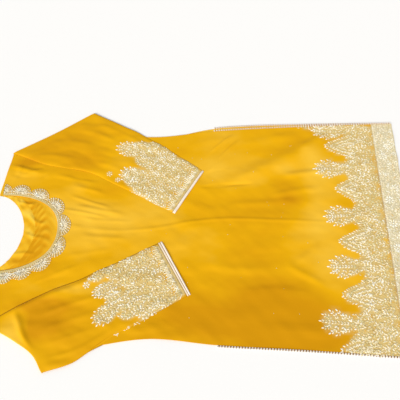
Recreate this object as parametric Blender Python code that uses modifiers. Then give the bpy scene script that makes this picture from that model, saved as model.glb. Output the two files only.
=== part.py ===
# Embroidered kameez tunic, laid flat on its back with both sleeves folded over the front.
# Metres. +X runs from neck to hem, +Y to the wearer's left, +Z up, and the back rests on z = 0.
# The cut is symmetric. lay() then puts it down slightly askew, the way it was smoothed out by hand.

import bmesh
import bpy
import numpy as np

OBJECT_NAME = "embroidered_kameez"

# Cloth: walls with a small gap between the layers and at every seam
WALL = 0.0012
GAP = 0.0003
LAYER = WALL + GAP
FRONT_TOP = LAYER + WALL

# Lengths along the centre line, and half widths, before the cut is laid down
NECK_X = -0.4985
SHOULDER_X = -0.481
UNDERARM_X = -0.270
SLIT_X = 0.018
BORDER_X = 0.426
HEM_X = 0.479
NECK_HALF = 0.0965
SHOULDER_HALF = 0.208
SIDE_HALF = (
    (UNDERARM_X, 0.2725),
    (-0.125, 0.2575),
    (SLIT_X, 0.2725),
    (0.19, 0.283),
    (0.35, 0.292),
    (HEM_X, 0.299),
)
NECK_SHIFT = -0.004
FRONT_NECK = (0.1485, 2.3)
BACK_NECK = (0.0705, 1.8)

# How it lies: the right side is drawn up, the yoke slides to the right, and the back shows
# past the front below the left slit
SKEW = 0.14
SHIFT = ((SHOULDER_X, -0.0175), (UNDERARM_X, -0.0105), (-0.125, -0.0065), (0.2, -0.002), (HEM_X, -0.004))
BACK_SPREAD = ((-0.06, 0.0), (0.02, 0.009), (0.12, 0.0105), (0.25, 0.007), (HEM_X, 0.0005))

# Trims
NECK_TRIM = {"set_back": 0.001, "band": 0.014, "scallop": 0.020, "steps": 72, "thick": 0.001}
FAN_CENTRES = (-0.010, 0.095, 0.187, 0.288, 0.395, 0.519, 0.645, 0.760, 0.874, 0.985, 1.090)
FACING = {"width": 0.027, "clear": 0.002, "thick": 0.001}
EDGING_WIDTH = 0.0042
CUFF_EXTRA = 0.0003

# Sleeves: where the fold and the two long edges lie once each is folded over the front,
# from the shoulder to the cuff
FOLD_CENTRE = 0.00305
SLEEVES = {
    "left": {
        "fold": ((-0.4945, 0.198), (-0.396, 0.260), (-0.300, 0.329)),
        "top_edge": ((-0.4945, 0.198), (-0.4035, 0.163), (-0.294, 0.140), (-0.199, 0.092), (-0.074, 0.025)),
        "under_edge": ((-0.300, 0.329), (-0.160, 0.254), (-0.004, 0.144)),
        "cuff_trim": 0.007,
    },
    "right": {
        "fold": ((-0.468, -0.233), (-0.400, -0.266), (-0.352, -0.298), (-0.330, -0.330)),
        "top_edge": ((-0.468, -0.233), (-0.367, -0.174), (-0.2745, -0.133), (-0.102, -0.046)),
        "under_edge": (
            (-0.330, -0.330),
            (-0.2745, -0.312),
            (-0.206, -0.263),
            (-0.102, -0.205),
            (-0.034, -0.171),
        ),
        "cuff_trim": 0.010,
    },
}

# The largest folds of the front: start, end, half width and height
FRONT_FOLDS = (
    ((-0.20, -0.014), (0.41, 0.003), 0.030, 0.0022),
    ((0.02, 0.155), (0.40, 0.165), 0.040, 0.0018),
    ((0.05, -0.135), (0.40, -0.150), 0.042, 0.0018),
    ((0.02, 0.075), (0.30, 0.090), 0.030, 0.0014),
    ((0.00, -0.215), (0.36, -0.225), 0.034, 0.0014),
)

# How finely each stretch is divided
ARMHOLE_STEPS = 8
SHOULDER_STEPS = 6
NECK_STEPS = 30
SIDE_STEPS = 18
SLEEVE_STEPS = {"root": 3, "bend": 4, "folded": 11}

COLOURS = {
    "cloth": ((0.78, 0.40, 0.012), 0.62),
    "inside": ((0.85, 0.50, 0.03), 0.60),
    "embroidery": ((0.68, 0.60, 0.36), 0.50),
    "piping": ((0.88, 0.78, 0.66), 0.45),
}


def smooth(knots, at):
    """A smooth curve through knots (position, value), read at the given positions."""
    place, value = np.array(knots, float).T
    slope = np.gradient(value, place)
    i = np.clip(np.searchsorted(place, at) - 1, 0, len(place) - 2)
    span = place[i + 1] - place[i]
    s = (at - place[i]) / span
    start = (1 + 2 * s) * (1 - s) ** 2 * value[i] + s * (1 - s) ** 2 * span * slope[i]
    end = s * s * (3 - 2 * s) * value[i + 1] + s * s * (s - 1) * span * slope[i + 1]
    return start + end


def smooth_path(points, at):
    """Plan points on a smooth curve through points, at shares of its length."""
    points = np.array(points)
    run = np.concatenate(([0], np.cumsum(np.linalg.norm(np.diff(points, axis=0), axis=1))))
    share = run / run[-1]
    return np.stack([smooth(np.c_[share, points[:, k]], at) for k in (0, 1)], axis=-1)


def ease(s):
    s = np.clip(s, 0, 1)
    return s * s * (3 - 2 * s)


def lay(x, y):
    """Where a point of the flat cut ends up on the table."""
    laid_y = y + smooth(SHIFT, np.clip(x, SHOULDER_X, HEM_X))
    return np.stack([x * (1 + SKEW * laid_y), laid_y], axis=-1)


def half_width(x):
    """Half the body's width at x."""
    return smooth(SIDE_HALF, np.maximum(x, UNDERARM_X))


def back_left_width(x):
    """The same for the back's left edge, which spreads past the front's at the slit."""
    return half_width(x) + smooth(BACK_SPREAD, np.maximum(x, BACK_SPREAD[0][0]))


def armhole():
    """The seam from shoulder tip to underarm, on the left half of the cut."""
    turn = np.linspace(0, np.pi / 2, ARMHOLE_STEPS + 1)
    x = SHOULDER_X + (UNDERARM_X - SHOULDER_X) * np.sin(turn)
    y = SHOULDER_HALF + (float(half_width(UNDERARM_X)) - SHOULDER_HALF) * (1 - np.cos(turn))
    return np.stack([x, y], axis=-1)


def neckline(depth, power, steps=NECK_STEPS):
    """A rounded U from the right neck point to the left one."""
    turn = np.linspace(np.pi, 0, steps + 1)
    across, down = np.cos(turn), np.sin(turn)
    y = NECK_SHIFT + NECK_HALF * np.sign(across) * np.abs(across) ** (2 / power)
    return np.stack([NECK_X + depth * down ** (2 / power), y], axis=-1)


def top_outline(neck):
    """The cut's upper edge from the right underarm, over the neck, to the left underarm."""
    arm = armhole()
    share = np.linspace(0, 1, SHOULDER_STEPS + 1)[1:-1, None]
    left = arm[0] + (neck[-1] - arm[0]) * share
    right_tip = arm[0] * (1, -1)
    right = right_tip + (neck[0] - right_tip) * share
    return np.concatenate([arm[::-1] * (1, -1), right, neck, left[::-1], arm])


def plan_normal(points):
    """Unit normals on the left of a path as it is walked."""
    along = np.gradient(points, axis=0)
    side = np.stack([-along[:, 1], along[:, 0]], axis=-1)
    return side / np.linalg.norm(side, axis=1, keepdims=True)


def fold_height(points):
    """How far the front's largest folds lift it at plan points."""
    height = np.zeros(points.shape[:-1])
    for start, end, reach, rise in FRONT_FOLDS:
        start, end = np.array(start), np.array(end)
        length = np.linalg.norm(end - start)
        along = (points - start) @ (end - start) / length**2
        foot = start + np.clip(along, 0, 1)[..., None] * (end - start)
        across = np.linalg.norm(points - foot, axis=-1) / reach
        fade = ease(along / 0.25) * ease((1 - along) / 0.25)
        height += rise * fade * np.cos(np.clip(across, 0, 1) * np.pi / 2) ** 2
    return height


def start_scene():
    for obj in list(bpy.data.objects):
        bpy.data.objects.remove(obj)
    collection = bpy.data.collections.new(OBJECT_NAME)
    bpy.context.scene.collection.children.link(collection)
    return collection


def material(name, finish):
    colour, roughness = COLOURS[finish]
    made = bpy.data.materials.new(name)
    made.use_nodes = True
    shader = made.node_tree.nodes["Principled BSDF"]
    shader.inputs["Base Color"].default_value = (*colour, 1)
    shader.inputs["Roughness"].default_value = roughness
    shader.inputs["Metallic"].default_value = 0.0
    return made


def add_object(name, data, finish, parts):
    obj = bpy.data.objects.new(name, data)
    obj.data.materials.append(material(name, finish))
    parts.objects.link(obj)
    return obj


def flat_piece(name, outline, bottom, thick, finish, parts):
    """A piece cut to a plan outline and lying level."""
    curve = bpy.data.curves.new(name, "CURVE")
    curve.dimensions = "2D"
    curve.fill_mode = "BOTH"
    curve.extrude = thick / 2
    spline = curve.splines.new("POLY")
    spline.points.add(len(outline) - 1)
    spline.points.foreach_set("co", np.c_[outline, np.zeros(len(outline)), np.ones(len(outline))].ravel())
    spline.use_cyclic_u = True
    obj = add_object(name, curve, finish, parts)
    obj.location.z = bottom + thick / 2
    return obj


def grid_faces(rows, columns, around=False):
    """Quads of a grid of rows by columns of points, closed round the columns if asked."""
    i = np.arange(rows - 1)[:, None] * columns
    j = np.arange(columns if around else columns - 1)
    k = (j + 1) % columns
    return np.stack(np.broadcast_arrays(i + j, i + columns + j, i + columns + k, i + k), -1).reshape(-1, 4)


def mesh_piece(name, points, faces, finish, parts):
    mesh = bpy.data.meshes.new(name)
    mesh.from_pydata(points.reshape(-1, 3).tolist(), [], faces.tolist())
    mesh.validate()
    return add_object(name, mesh, finish, parts)


def shell_piece(name, under_side, finish, parts):
    """A wall of cloth on the grid of points of its under side."""
    rows, columns = under_side.shape[:2]
    obj = mesh_piece(name, under_side, grid_faces(rows, columns), finish, parts)
    solidify = obj.modifiers.new("cloth wall", "SOLIDIFY")
    solidify.thickness = WALL
    solidify.offset = 1.0
    return obj


def tube_piece(name, outer, inner, finish, parts):
    """An open-ended tube with a wall, from matching rings of outer and inner points."""
    rows, ring = outer.shape[:2]
    walls = grid_faces(rows, ring, around=True)
    inside = walls[:, ::-1] + rows * ring
    j = np.arange(ring)
    k = (j + 1) % ring
    first = np.stack([k, j, j + rows * ring, k + rows * ring], -1)
    last_row = (rows - 1) * ring
    last = np.stack([j, k, k + rows * ring, j + rows * ring], -1) + last_row
    faces = np.concatenate([walls, inside, first, last])
    obj = mesh_piece(name, np.concatenate([outer, inner]), faces, finish, parts)
    shape = bmesh.new()
    shape.from_mesh(obj.data)
    bmesh.ops.recalc_face_normals(shape, faces=shape.faces)
    shape.to_mesh(obj.data)
    shape.free()
    return obj


def side_rows():
    return np.linspace(UNDERARM_X, BORDER_X, SIDE_STEPS + 1)


def back_panel(parts):
    """The whole back, from neck to hem."""
    top = top_outline(neckline(*BACK_NECK))
    x = np.concatenate([side_rows()[1:], [HEM_X]])
    left = np.stack([x, back_left_width(x)], -1)
    right = np.stack([x, -half_width(x)], -1)
    outline = np.concatenate([top, left, right[::-1]])
    flat_piece("back_panel", lay(outline[:, 0], outline[:, 1]), 0.0, WALL, "cloth", parts)


def front_grid(x_from, x_to, share):
    """Front panel points: share (rows) of the way from x_from to x_to, for every column."""
    top = top_outline(neckline(*FRONT_NECK))
    across = top[:, 1] / half_width(top[:, 0])
    start = top[:, 0] if x_from is None else np.full(len(top), x_from)
    x = start + (x_to - start) * share[:, None]
    return lay(x, across * half_width(x))


def front_panel(parts):
    """The front as far as the border's seam, with its largest folds."""
    plan = front_grid(None, BORDER_X, np.linspace(0, 1, SIDE_STEPS + 1))
    z = LAYER + fold_height(plan)
    shell_piece("front_panel", np.concatenate([plan, z[..., None]], -1), "cloth", parts)


def front_hem_border(parts):
    """The dense embroidered band sewn on below the front."""
    plan = front_grid(BORDER_X + GAP, HEM_X, np.linspace(0, 1, 3))
    z = np.full(plan.shape[:-1], LAYER)
    shell_piece("front_hem_border", np.concatenate([plan, z[..., None]], -1), "embroidery", parts)


def slit_edging(name, side, width, bottom, parts):
    """A narrow looped edging from the top of a slit to the hem, outside the panel's edge."""
    sign = 1 if side == "left" else -1
    rows = side_rows()
    x = np.concatenate([rows[rows > SLIT_X], [HEM_X]])
    edge = width(x)
    inner = np.stack([x, sign * (edge + GAP)], -1)
    outer = np.stack([x, sign * (edge + GAP + EDGING_WIDTH)], -1)
    outline = np.concatenate([inner, outer[::-1]])
    flat_piece(name, lay(outline[:, 0], outline[:, 1]), bottom, WALL, "embroidery", parts)


def neck_trim(parts):
    """The scalloped band round the front neckline."""
    trim = NECK_TRIM
    plan = neckline(*FRONT_NECK, steps=trim["steps"])
    edge = lay(plan[:, 0], plan[:, 1])
    outward = -plan_normal(edge)
    run = np.concatenate(([0], np.cumsum(np.linalg.norm(np.diff(edge, axis=0), axis=1))))
    phase = np.interp(run / run[-1], FAN_CENTRES, np.arange(len(FAN_CENTRES)) + 0.5)
    wave = np.abs(np.sin(np.pi * phase)) ** 0.6
    reach = trim["band"] + trim["scallop"] * wave
    inner = edge + outward * trim["set_back"]
    outer = edge + outward * reach[:, None]
    shoulder = NECK_X + (SHOULDER_X - NECK_X) * 0.12
    outer[:, 0] = np.maximum(outer[:, 0], shoulder)
    inner[:, 0] = np.maximum(inner[:, 0], shoulder)
    outline = np.concatenate([inner, outer[::-1]])
    flat_piece("neck_trim", outline, FRONT_TOP + GAP, trim["thick"], "embroidery", parts)


def back_neck_facing(parts):
    """The facing inside the back neck, as far as the front leaves it in view."""
    back = neckline(*BACK_NECK)
    front_x = neckline(*FRONT_NECK, steps=400)
    below = np.interp(back[:, 1], front_x[:, 1], front_x[:, 0])
    reach = np.minimum(FACING["width"], below - back[:, 0] - FACING["clear"] - 0.002)
    seen = reach > 0.006
    start = back[seen] + (0.0008, 0)
    end = back[seen] + np.stack([reach[seen], np.zeros(seen.sum())], -1)
    outline = np.concatenate([start, end[::-1]])
    laid = lay(outline[:, 0], outline[:, 1])
    flat_piece("back_neck_facing", laid, LAYER, FACING["thick"], "inside", parts)


def sleeve_row_points(side, cut_back):
    """Plan points of a sleeve's rows: root rows to the fold, then folded rows to the cuff."""
    spec = SLEEVES[side]
    sign = 1 if side == "left" else -1
    seam = armhole() * (1, sign)
    seam = lay(seam[:, 0], seam[:, 1])
    seam = seam + plan_normal(seam) * sign * GAP
    across = np.linspace(0, 1, ARMHOLE_STEPS + 1)
    fold = smooth_path(spec["fold"], across)
    root_share = np.linspace(0, 1, SLEEVE_STEPS["root"] + 1)[:, None, None]
    root = seam + (fold - seam) * root_share
    reach = np.linspace(0, 1, SLEEVE_STEPS["folded"] + 1) * (1 - cut_back)
    top = smooth_path(spec["top_edge"], reach)[:, None]
    under = smooth_path(spec["under_edge"], reach)[:, None]
    bow = fold - (fold[0] + (fold[-1] - fold[0]) * across[:, None])
    laid = top + (under - top) * across[:, None] + bow * (1 - reach[:, None, None]) ** 3
    return root, fold, laid


def ring_heights(low, high):
    """(share across, height) of the outer and the inner ring of a flattened tube."""
    across = np.linspace(0, 1, ARMHOLE_STEPS + 1)
    share = np.concatenate([across, across[::-1]])
    below = np.ones(len(across))
    outer = np.concatenate([below * low, below * high])
    inner = np.concatenate([below * (low + WALL), below * (high - WALL)])
    return np.c_[share, outer], np.c_[share, inner]


def at_share(row, share, draw_in):
    """Points across a row of plan points, with the two ends drawn in by a distance."""
    width = np.linalg.norm(row[-1] - row[0])
    share = draw_in / width + share * (1 - 2 * draw_in / width)
    knots = np.linspace(0, 1, len(row))
    return np.stack([np.interp(share, knots, row[:, k]) for k in (0, 1)], -1)


def sleeve_rings(side, low, high, wall, cut_back):
    """Rings of one surface of the sleeve: flat root, round bend, then flat over the front."""
    root, fold, laid = sleeve_row_points(side, cut_back)
    sign = 1 if side == "left" else -1
    outward = plan_normal(fold) * sign
    share, height = ring_heights(low, high)[1 if wall else 0].T
    draw_in = WALL if wall else 0.0
    rings = []
    for row in root:
        rings.append(np.c_[at_share(row, share, draw_in), height])
    normal = at_share(outward, share, 0.0)
    foot = at_share(fold, share, draw_in)
    radius = (FOLD_CENTRE - height)[:, None]
    for turn in np.linspace(0, np.pi, SLEEVE_STEPS["bend"] + 1)[1:]:
        plan = foot + normal * radius * np.sin(turn)
        rings.append(np.c_[plan, FOLD_CENTRE - radius[:, 0] * np.cos(turn)])
    for row in laid[1:]:
        rings.append(np.c_[at_share(row, share, draw_in), 2 * FOLD_CENTRE - height])
    return np.array(rings)


def sleeve(side, parts):
    """A sleeve of two layers, out from the armhole and folded back over the front."""
    spec = SLEEVES[side]
    length = np.linalg.norm(np.subtract(spec["top_edge"][-1], spec["top_edge"][0]))
    cut_back = (spec["cuff_trim"] + GAP) / length
    outer = sleeve_rings(side, 0.0, FRONT_TOP, False, cut_back)
    inner = sleeve_rings(side, 0.0, FRONT_TOP, True, cut_back)
    tube_piece(f"sleeve_{side}", outer, inner, "cloth", parts)
    return cut_back


def cuff_trim(side, cut_back, parts):
    """The rail sewn round the cuff, a little thicker than the sleeve."""
    spec = SLEEVES[side]
    share = GAP / spec["cuff_trim"]
    ends = []
    for wall in (False, True):
        cloth_end = sleeve_rings(side, -CUFF_EXTRA, FRONT_TOP + CUFF_EXTRA, wall, cut_back)[-1]
        tip = sleeve_rings(side, -CUFF_EXTRA, FRONT_TOP + CUFF_EXTRA, wall, 0.0)[-1]
        ends.append(np.array([cloth_end + (tip - cloth_end) * share, (cloth_end + tip) / 2, tip]))
    tube_piece(f"cuff_trim_{side}", ends[0], ends[1], "piping", parts)


def settle(parts):
    """Parent every piece to one empty that centres the garment on the origin."""
    bpy.context.view_layer.update()
    graph = bpy.context.evaluated_depsgraph_get()
    corners = []
    for obj in parts.objects:
        mesh = obj.evaluated_get(graph).to_mesh()
        points = np.empty(len(mesh.vertices) * 3)
        mesh.vertices.foreach_get("co", points)
        corners.append(points.reshape(-1, 3)[:, :2])
    corners = np.concatenate(corners)
    middle = (corners.min(0) + corners.max(0)) / 2
    laid = bpy.data.objects.new("laid_flat", None)
    laid.location = (-middle[0], -middle[1], 0)
    for obj in list(parts.objects):
        obj.parent = laid
    parts.objects.link(laid)
    print("centred by", -middle)


def main():
    parts = start_scene()
    back_panel(parts)
    front_panel(parts)
    front_hem_border(parts)
    neck_trim(parts)
    back_neck_facing(parts)
    for side in ("left", "right"):
        cut_back = sleeve(side, parts)
        cuff_trim(side, cut_back, parts)
        back_width = back_left_width if side == "left" else half_width
        slit_edging(f"back_slit_edging_{side}", side, back_width, 0.0, parts)
        slit_edging(f"front_slit_edging_{side}", side, half_width, LAYER, parts)
    settle(parts)


main()
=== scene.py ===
import math
import bpy
import numpy as np
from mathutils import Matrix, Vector


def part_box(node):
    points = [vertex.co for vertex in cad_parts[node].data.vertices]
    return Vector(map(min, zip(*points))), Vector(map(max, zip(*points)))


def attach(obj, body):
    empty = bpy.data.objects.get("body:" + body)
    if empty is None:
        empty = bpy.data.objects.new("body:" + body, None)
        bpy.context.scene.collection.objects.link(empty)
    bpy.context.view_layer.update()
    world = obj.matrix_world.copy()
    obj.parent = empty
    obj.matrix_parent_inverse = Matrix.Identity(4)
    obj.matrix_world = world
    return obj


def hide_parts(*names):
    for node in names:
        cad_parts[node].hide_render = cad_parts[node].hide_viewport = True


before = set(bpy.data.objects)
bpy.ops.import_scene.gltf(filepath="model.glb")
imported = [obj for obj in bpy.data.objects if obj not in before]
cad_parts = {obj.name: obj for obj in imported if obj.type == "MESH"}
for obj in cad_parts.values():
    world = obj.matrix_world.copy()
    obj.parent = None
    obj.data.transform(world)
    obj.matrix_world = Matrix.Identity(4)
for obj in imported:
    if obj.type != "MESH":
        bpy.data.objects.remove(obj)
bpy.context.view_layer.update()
rng = np.random.default_rng(41)

# camera, floor and light
studio = {
    "cameraPlace": (-0.0117, -0.4335, 0.9300),
    "cameraAim": (-0.0117, 0.0640, 0.0),
    "lens": 38.97,
    "sensor": 36.0,
    "floorSide": 14.0,
    "floorDrop": 0.0002,
    "floorColour": (0.97, 0.965, 0.955, 1),
    "floorRoughness": 0.9,
    "worldLight": 0.53,
    "worldColour": (1.0, 1.0, 0.995, 1),
    "sunPower": 2.85,
    "sunSpread": 0.60,
    "sunColour": (1.0, 0.985, 0.96),
    "sunFrom": (-0.62, -0.95, 0.74),
}


def makeStudio(s):
    scene = bpy.context.scene
    camera = bpy.data.objects.new("camera", bpy.data.cameras.new("camera"))
    camera.data.lens = s["lens"]
    camera.data.sensor_width = s["sensor"]
    camera.location = s["cameraPlace"]
    aim = Vector(s["cameraAim"]) - Vector(s["cameraPlace"])
    camera.rotation_euler = aim.to_track_quat("-Z", "Y").to_euler()
    scene.collection.objects.link(camera)
    scene.camera = camera
    scene.view_settings.view_transform = "Standard"

    sun = bpy.data.objects.new("sun", bpy.data.lights.new("sun", "SUN"))
    sun.data.energy = s["sunPower"]
    sun.data.angle = s["sunSpread"]
    sun.data.color = s["sunColour"]
    sun.rotation_euler = (-Vector(s["sunFrom"])).to_track_quat("-Z", "Y").to_euler()
    scene.collection.objects.link(sun)

    world = bpy.data.worlds.new("studio")
    world.use_nodes = True
    sky = world.node_tree.nodes["Background"]
    sky.inputs["Color"].default_value = s["worldColour"]
    sky.inputs["Strength"].default_value = s["worldLight"]
    scene.world = world

    half = s["floorSide"] / 2
    mesh = bpy.data.meshes.new("floor")
    corners = [(-half, -half), (half, -half), (half, half), (-half, half)]
    mesh.from_pydata([(x, y, -s["floorDrop"]) for x, y in corners], [], [(0, 1, 2, 3)])
    floor = bpy.data.objects.new("floor", mesh)
    scene.collection.objects.link(floor)
    white = bpy.data.materials.new("floorWhite")
    white.use_nodes = True
    shader = white.node_tree.nodes["Principled BSDF"]
    shader.inputs["Base Color"].default_value = s["floorColour"]
    shader.inputs["Roughness"].default_value = s["floorRoughness"]
    floor.data.materials.append(white)


makeStudio(studio)
print("studio ready")

# the cut, as the CAD lays it down
cut = {
    "neckX": -0.4985, "shoulderX": -0.481, "underarmX": -0.270, "borderX": 0.426, "hemX": 0.479,
    "neckHalf": 0.0965, "shoulderHalf": 0.208, "neckShift": -0.004,
    "frontNeck": (0.1485, 2.3), "backNeck": (0.0705, 1.8),
    "side": (
        (-0.270, 0.2725), (-0.125, 0.2575), (0.018, 0.2725), (0.19, 0.283), (0.35, 0.292), (0.479, 0.299),
    ),
    "shift": ((-0.481, -0.0175), (-0.270, -0.0105), (-0.125, -0.0065), (0.2, -0.002), (0.479, -0.004)),
    "spread": ((-0.06, 0.0), (0.02, 0.009), (0.12, 0.0105), (0.25, 0.007), (0.479, 0.0005)),
    "skew": 0.14,
}
# heights above the table, and the thickness of the body's cloth and of the sleeves'
level = {
    "cloth": 0.0007, "sleeveCloth": 0.0005, "front": 0.0016,
    "foldCentre": 0.00235, "sleeveMid": 0.00115, "sleeveHalf": 0.00095,
}


def runOf(points):
    # length along a line of points, from its start to each point
    return np.concatenate(([0], np.cumsum(np.linalg.norm(np.diff(points, axis=0), axis=1))))


def unit(vectors):
    return vectors / np.linalg.norm(vectors, axis=-1, keepdims=True)


def turnedLeft(vectors):
    return np.stack([-vectors[:, 1], vectors[:, 0]], -1)


def between(at, known, points):
    # plan points read off between known ones
    return np.stack([np.interp(at, known, points[:, k]) for k in (0, 1)], -1)


def raised(plan, z):
    return np.concatenate([plan, z[..., None]], -1)


def smoothCurve(knots, at):
    # a cubic through (position, value) knots, with slopes from neighbouring knots
    place, value = np.array(knots, float).T
    slope = np.gradient(value, place)
    i = np.clip(np.searchsorted(place, at) - 1, 0, len(place) - 2)
    span = place[i + 1] - place[i]
    s = (at - place[i]) / span
    start = (1 + 2 * s) * (1 - s) ** 2 * value[i] + s * (1 - s) ** 2 * span * slope[i]
    end = s * s * (3 - 2 * s) * value[i + 1] + s * s * (s - 1) * span * slope[i + 1]
    return start + end


def smoothPath(points, at):
    # plan points at shares of the length of a smooth path
    points = np.array(points, float)
    run = runOf(points)
    share = run / run[-1]
    return np.stack([smoothCurve(np.c_[share, points[:, k]], at) for k in (0, 1)], -1)


def ease(s):
    # 0 to 1 with a soft start and end: three squares less two cubes
    s = np.clip(s, 0, 1)
    return s * s * (3 - 2 * s)


def laid(x, y):
    # the cut's x, y to its place on the table, before it is centred
    there = y + smoothCurve(cut["shift"], np.clip(x, cut["shoulderX"], cut["hemX"]))
    return np.stack([x * (1 + cut["skew"] * there), there], -1)


def halfWidth(x):
    return smoothCurve(cut["side"], np.maximum(x, cut["underarmX"]))


def backLeftWidth(x):
    return halfWidth(x) + smoothCurve(cut["spread"], np.maximum(x, cut["spread"][0][0]))


def armhole(steps):
    # a quarter ellipse from shoulder tip to underarm
    turn = np.linspace(0, np.pi / 2, steps + 1)
    x = cut["shoulderX"] + (cut["underarmX"] - cut["shoulderX"]) * np.sin(turn)
    reach = float(halfWidth(cut["underarmX"])) - cut["shoulderHalf"]
    return np.stack([x, cut["shoulderHalf"] + reach * (1 - np.cos(turn))], -1)


def neckline(depth, power, steps):
    # a superellipse U from the right neck point to the left
    turn = np.linspace(np.pi, 0, steps + 1)
    across = np.cos(turn)
    y = cut["neckShift"] + cut["neckHalf"] * np.sign(across) * np.abs(across) ** (2 / power)
    return np.stack([cut["neckX"] + depth * np.sin(turn) ** (2 / power), y], -1)


def topOutline(neck, armSteps, shoulderSteps):
    # from underarm to underarm: armhole, straight shoulder, neckline, straight shoulder, armhole
    arm = armhole(armSteps)
    share = np.linspace(0, 1, shoulderSteps + 1)[1:-1, None]
    left = arm[0] + (neck[-1] - arm[0]) * share
    tip = arm[0] * (1, -1)
    right = tip + (neck[0] - tip) * share
    return np.concatenate([arm[::-1] * (1, -1), right, neck, left[::-1], arm])


outlineStart = laid(*neckline(*cut["backNeck"], 30).T)
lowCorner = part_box("back_panel")[0]
settled = np.array([lowCorner[0] - outlineStart[:, 0].min(), 0.0])
hemRight = laid(np.array([cut["hemX"]]), -halfWidth(np.array([cut["hemX"]])))[0]
settled[1] = lowCorner[1] - hemRight[1]
print("garment settled by", settled)


def onTable(x, y):
    return laid(x, y) + settled


# creases
# each: path in metres on the table, half width, height (negative is a trough)
frontCreases = (
    ((
        (-0.30, -0.020), (-0.18, -0.018), (-0.10, -0.010), (-0.04, 0.003), (0.03, 0.011), (0.18, 0.008),
        (0.36, 0.001),
    ), 0.007, 0.0011),
    (((-0.20, -0.022), (-0.10, -0.016), (0.03, 0.004), (0.34, -0.008)), 0.030, 0.0010),
    (((0.03, 0.095), (0.12, 0.140), (0.21, 0.185), (0.34, 0.250)), 0.034, 0.0052),
    (((0.18, 0.128), (0.25, 0.140), (0.34, 0.150)), 0.016, 0.0022),
    (((0.15, 0.070), (0.21, 0.086), (0.30, 0.098)), 0.014, 0.0018),
    (((0.012, 0.200), (0.040, 0.226), (0.075, 0.256)), 0.0070, 0.0026),
    (((0.036, 0.178), (0.058, 0.206), (0.090, 0.240)), 0.0070, 0.0026),
    (((0.045, 0.155), (0.09, 0.166), (0.15, 0.190)), 0.008, -0.0024),
    (((-0.02, 0.098), (0.05, 0.104), (0.13, 0.110)), 0.007, -0.0018),
    (((0.005, 0.130), (0.030, 0.142), (0.060, 0.148)), 0.007, -0.0014),
    (((0.24, 0.205), (0.28, 0.235), (0.33, 0.262)), 0.018, 0.0026),
    (((0.04, 0.050), (0.14, 0.055), (0.24, 0.066)), 0.016, 0.0013),
    (((0.08, 0.225), (0.18, 0.245), (0.26, 0.262)), 0.020, 0.0016),
    (((-0.335, 0.076), (-0.28, 0.058), (-0.215, 0.036)), 0.010, 0.0016),
    (((-0.33, 0.103), (-0.29, 0.093), (-0.24, 0.080)), 0.009, 0.0013),
    (((-0.468, 0.124), (-0.43, 0.142), (-0.395, 0.160)), 0.008, 0.0015),
    (((-0.452, 0.094), (-0.42, 0.118), (-0.383, 0.146)), 0.009, -0.0012),
    (((-0.385, 0.135), (-0.33, 0.124), (-0.26, 0.108)), 0.010, 0.0013),
    (((-0.485, 0.100), (-0.465, 0.140), (-0.470, 0.175)), 0.010, 0.0012),
    (((-0.498, 0.178), (-0.452, 0.163), (-0.395, 0.150)), 0.007, -0.0030),
    (((-0.498, 0.165), (-0.455, 0.150), (-0.400, 0.136)), 0.009, 0.0024),
    (((-0.490, 0.140), (-0.462, 0.130), (-0.420, 0.124)), 0.007, -0.0014),
    (((-0.345, 0.000), (-0.28, -0.012), (-0.19, -0.020)), 0.008, 0.0011),
    (((-0.355, 0.040), (-0.30, 0.030), (-0.22, 0.012)), 0.007, 0.0010),
    (((-0.320, 0.050), (-0.26, 0.036), (-0.185, 0.022)), 0.011, 0.0013),
    (((-0.300, -0.030), (-0.24, -0.036), (-0.17, -0.040)), 0.010, 0.0010),
    (((-0.320, 0.018), (-0.25, 0.008), (-0.16, 0.004)), 0.009, 0.0009),
    (((-0.34, -0.085), (-0.27, -0.075), (-0.20, -0.062)), 0.014, 0.0013),
    (((-0.40, -0.152), (-0.34, -0.128), (-0.27, -0.098)), 0.010, 0.0011),
    (((0.20, -0.100), (0.235, -0.078), (0.268, -0.048)), 0.017, 0.0018),
    (((0.175, -0.097), (0.22, -0.125), (0.27, -0.150)), 0.016, 0.0016),
    (((0.02, -0.233), (0.11, -0.210), (0.21, -0.184)), 0.022, 0.0013),
    (((-0.02, -0.100), (0.06, -0.112), (0.15, -0.116)), 0.020, 0.0011),
    (((0.05, -0.170), (0.14, -0.160), (0.24, -0.170)), 0.018, 0.0011),
    (((0.12, -0.235), (0.20, -0.245), (0.28, -0.262)), 0.016, 0.0013),
    (((-0.18, -0.256), (-0.11, -0.240), (-0.04, -0.226)), 0.012, 0.0016),
    (((0.00, 0.135), (0.03, 0.165), (0.045, 0.20)), 0.010, 0.0012),
    (((-0.03, 0.235), (0.03, 0.240), (0.10, 0.255)), 0.010, 0.0010),
)
creaseShape = {"gain": 1.4, "bell": 0.55, "ends": 0.3}
ripples = {"count": 26, "height": 0.00011, "waves": (0.016, 0.075), "seed": 7}


def ridge(plan, path, reach, rise):
    # a soft rise along a path: a bell curve of the distance to it, dying out at both ends
    path = smoothPath(path, np.linspace(0, 1, 3 * len(path)))
    steps = np.diff(path, axis=0)
    lengths = np.linalg.norm(steps, axis=1)
    before = runOf(path)
    nearest = np.full(plan.shape[:-1], 9.0)
    run = np.zeros(plan.shape[:-1])
    for k, (start, step, length) in enumerate(zip(path[:-1], steps, lengths)):
        along = np.clip(((plan - start) @ step) / length**2, 0, 1)
        away = np.linalg.norm(plan - start - along[..., None] * step, axis=-1)
        closer = away < nearest
        nearest = np.where(closer, away, nearest)
        run = np.where(closer, before[k] + along * length, run)
    share = run / before[-1]
    ends = ease(share / creaseShape["ends"]) * ease((1 - share) / creaseShape["ends"])
    return rise * ends * np.exp(-((nearest / (creaseShape["bell"] * reach)) ** 2))


def creased(lift, plan, creases):
    for path, reach, rise in creases:
        lift = lift + creaseShape["gain"] * ridge(plan, path, reach, rise)
    return lift


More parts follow.
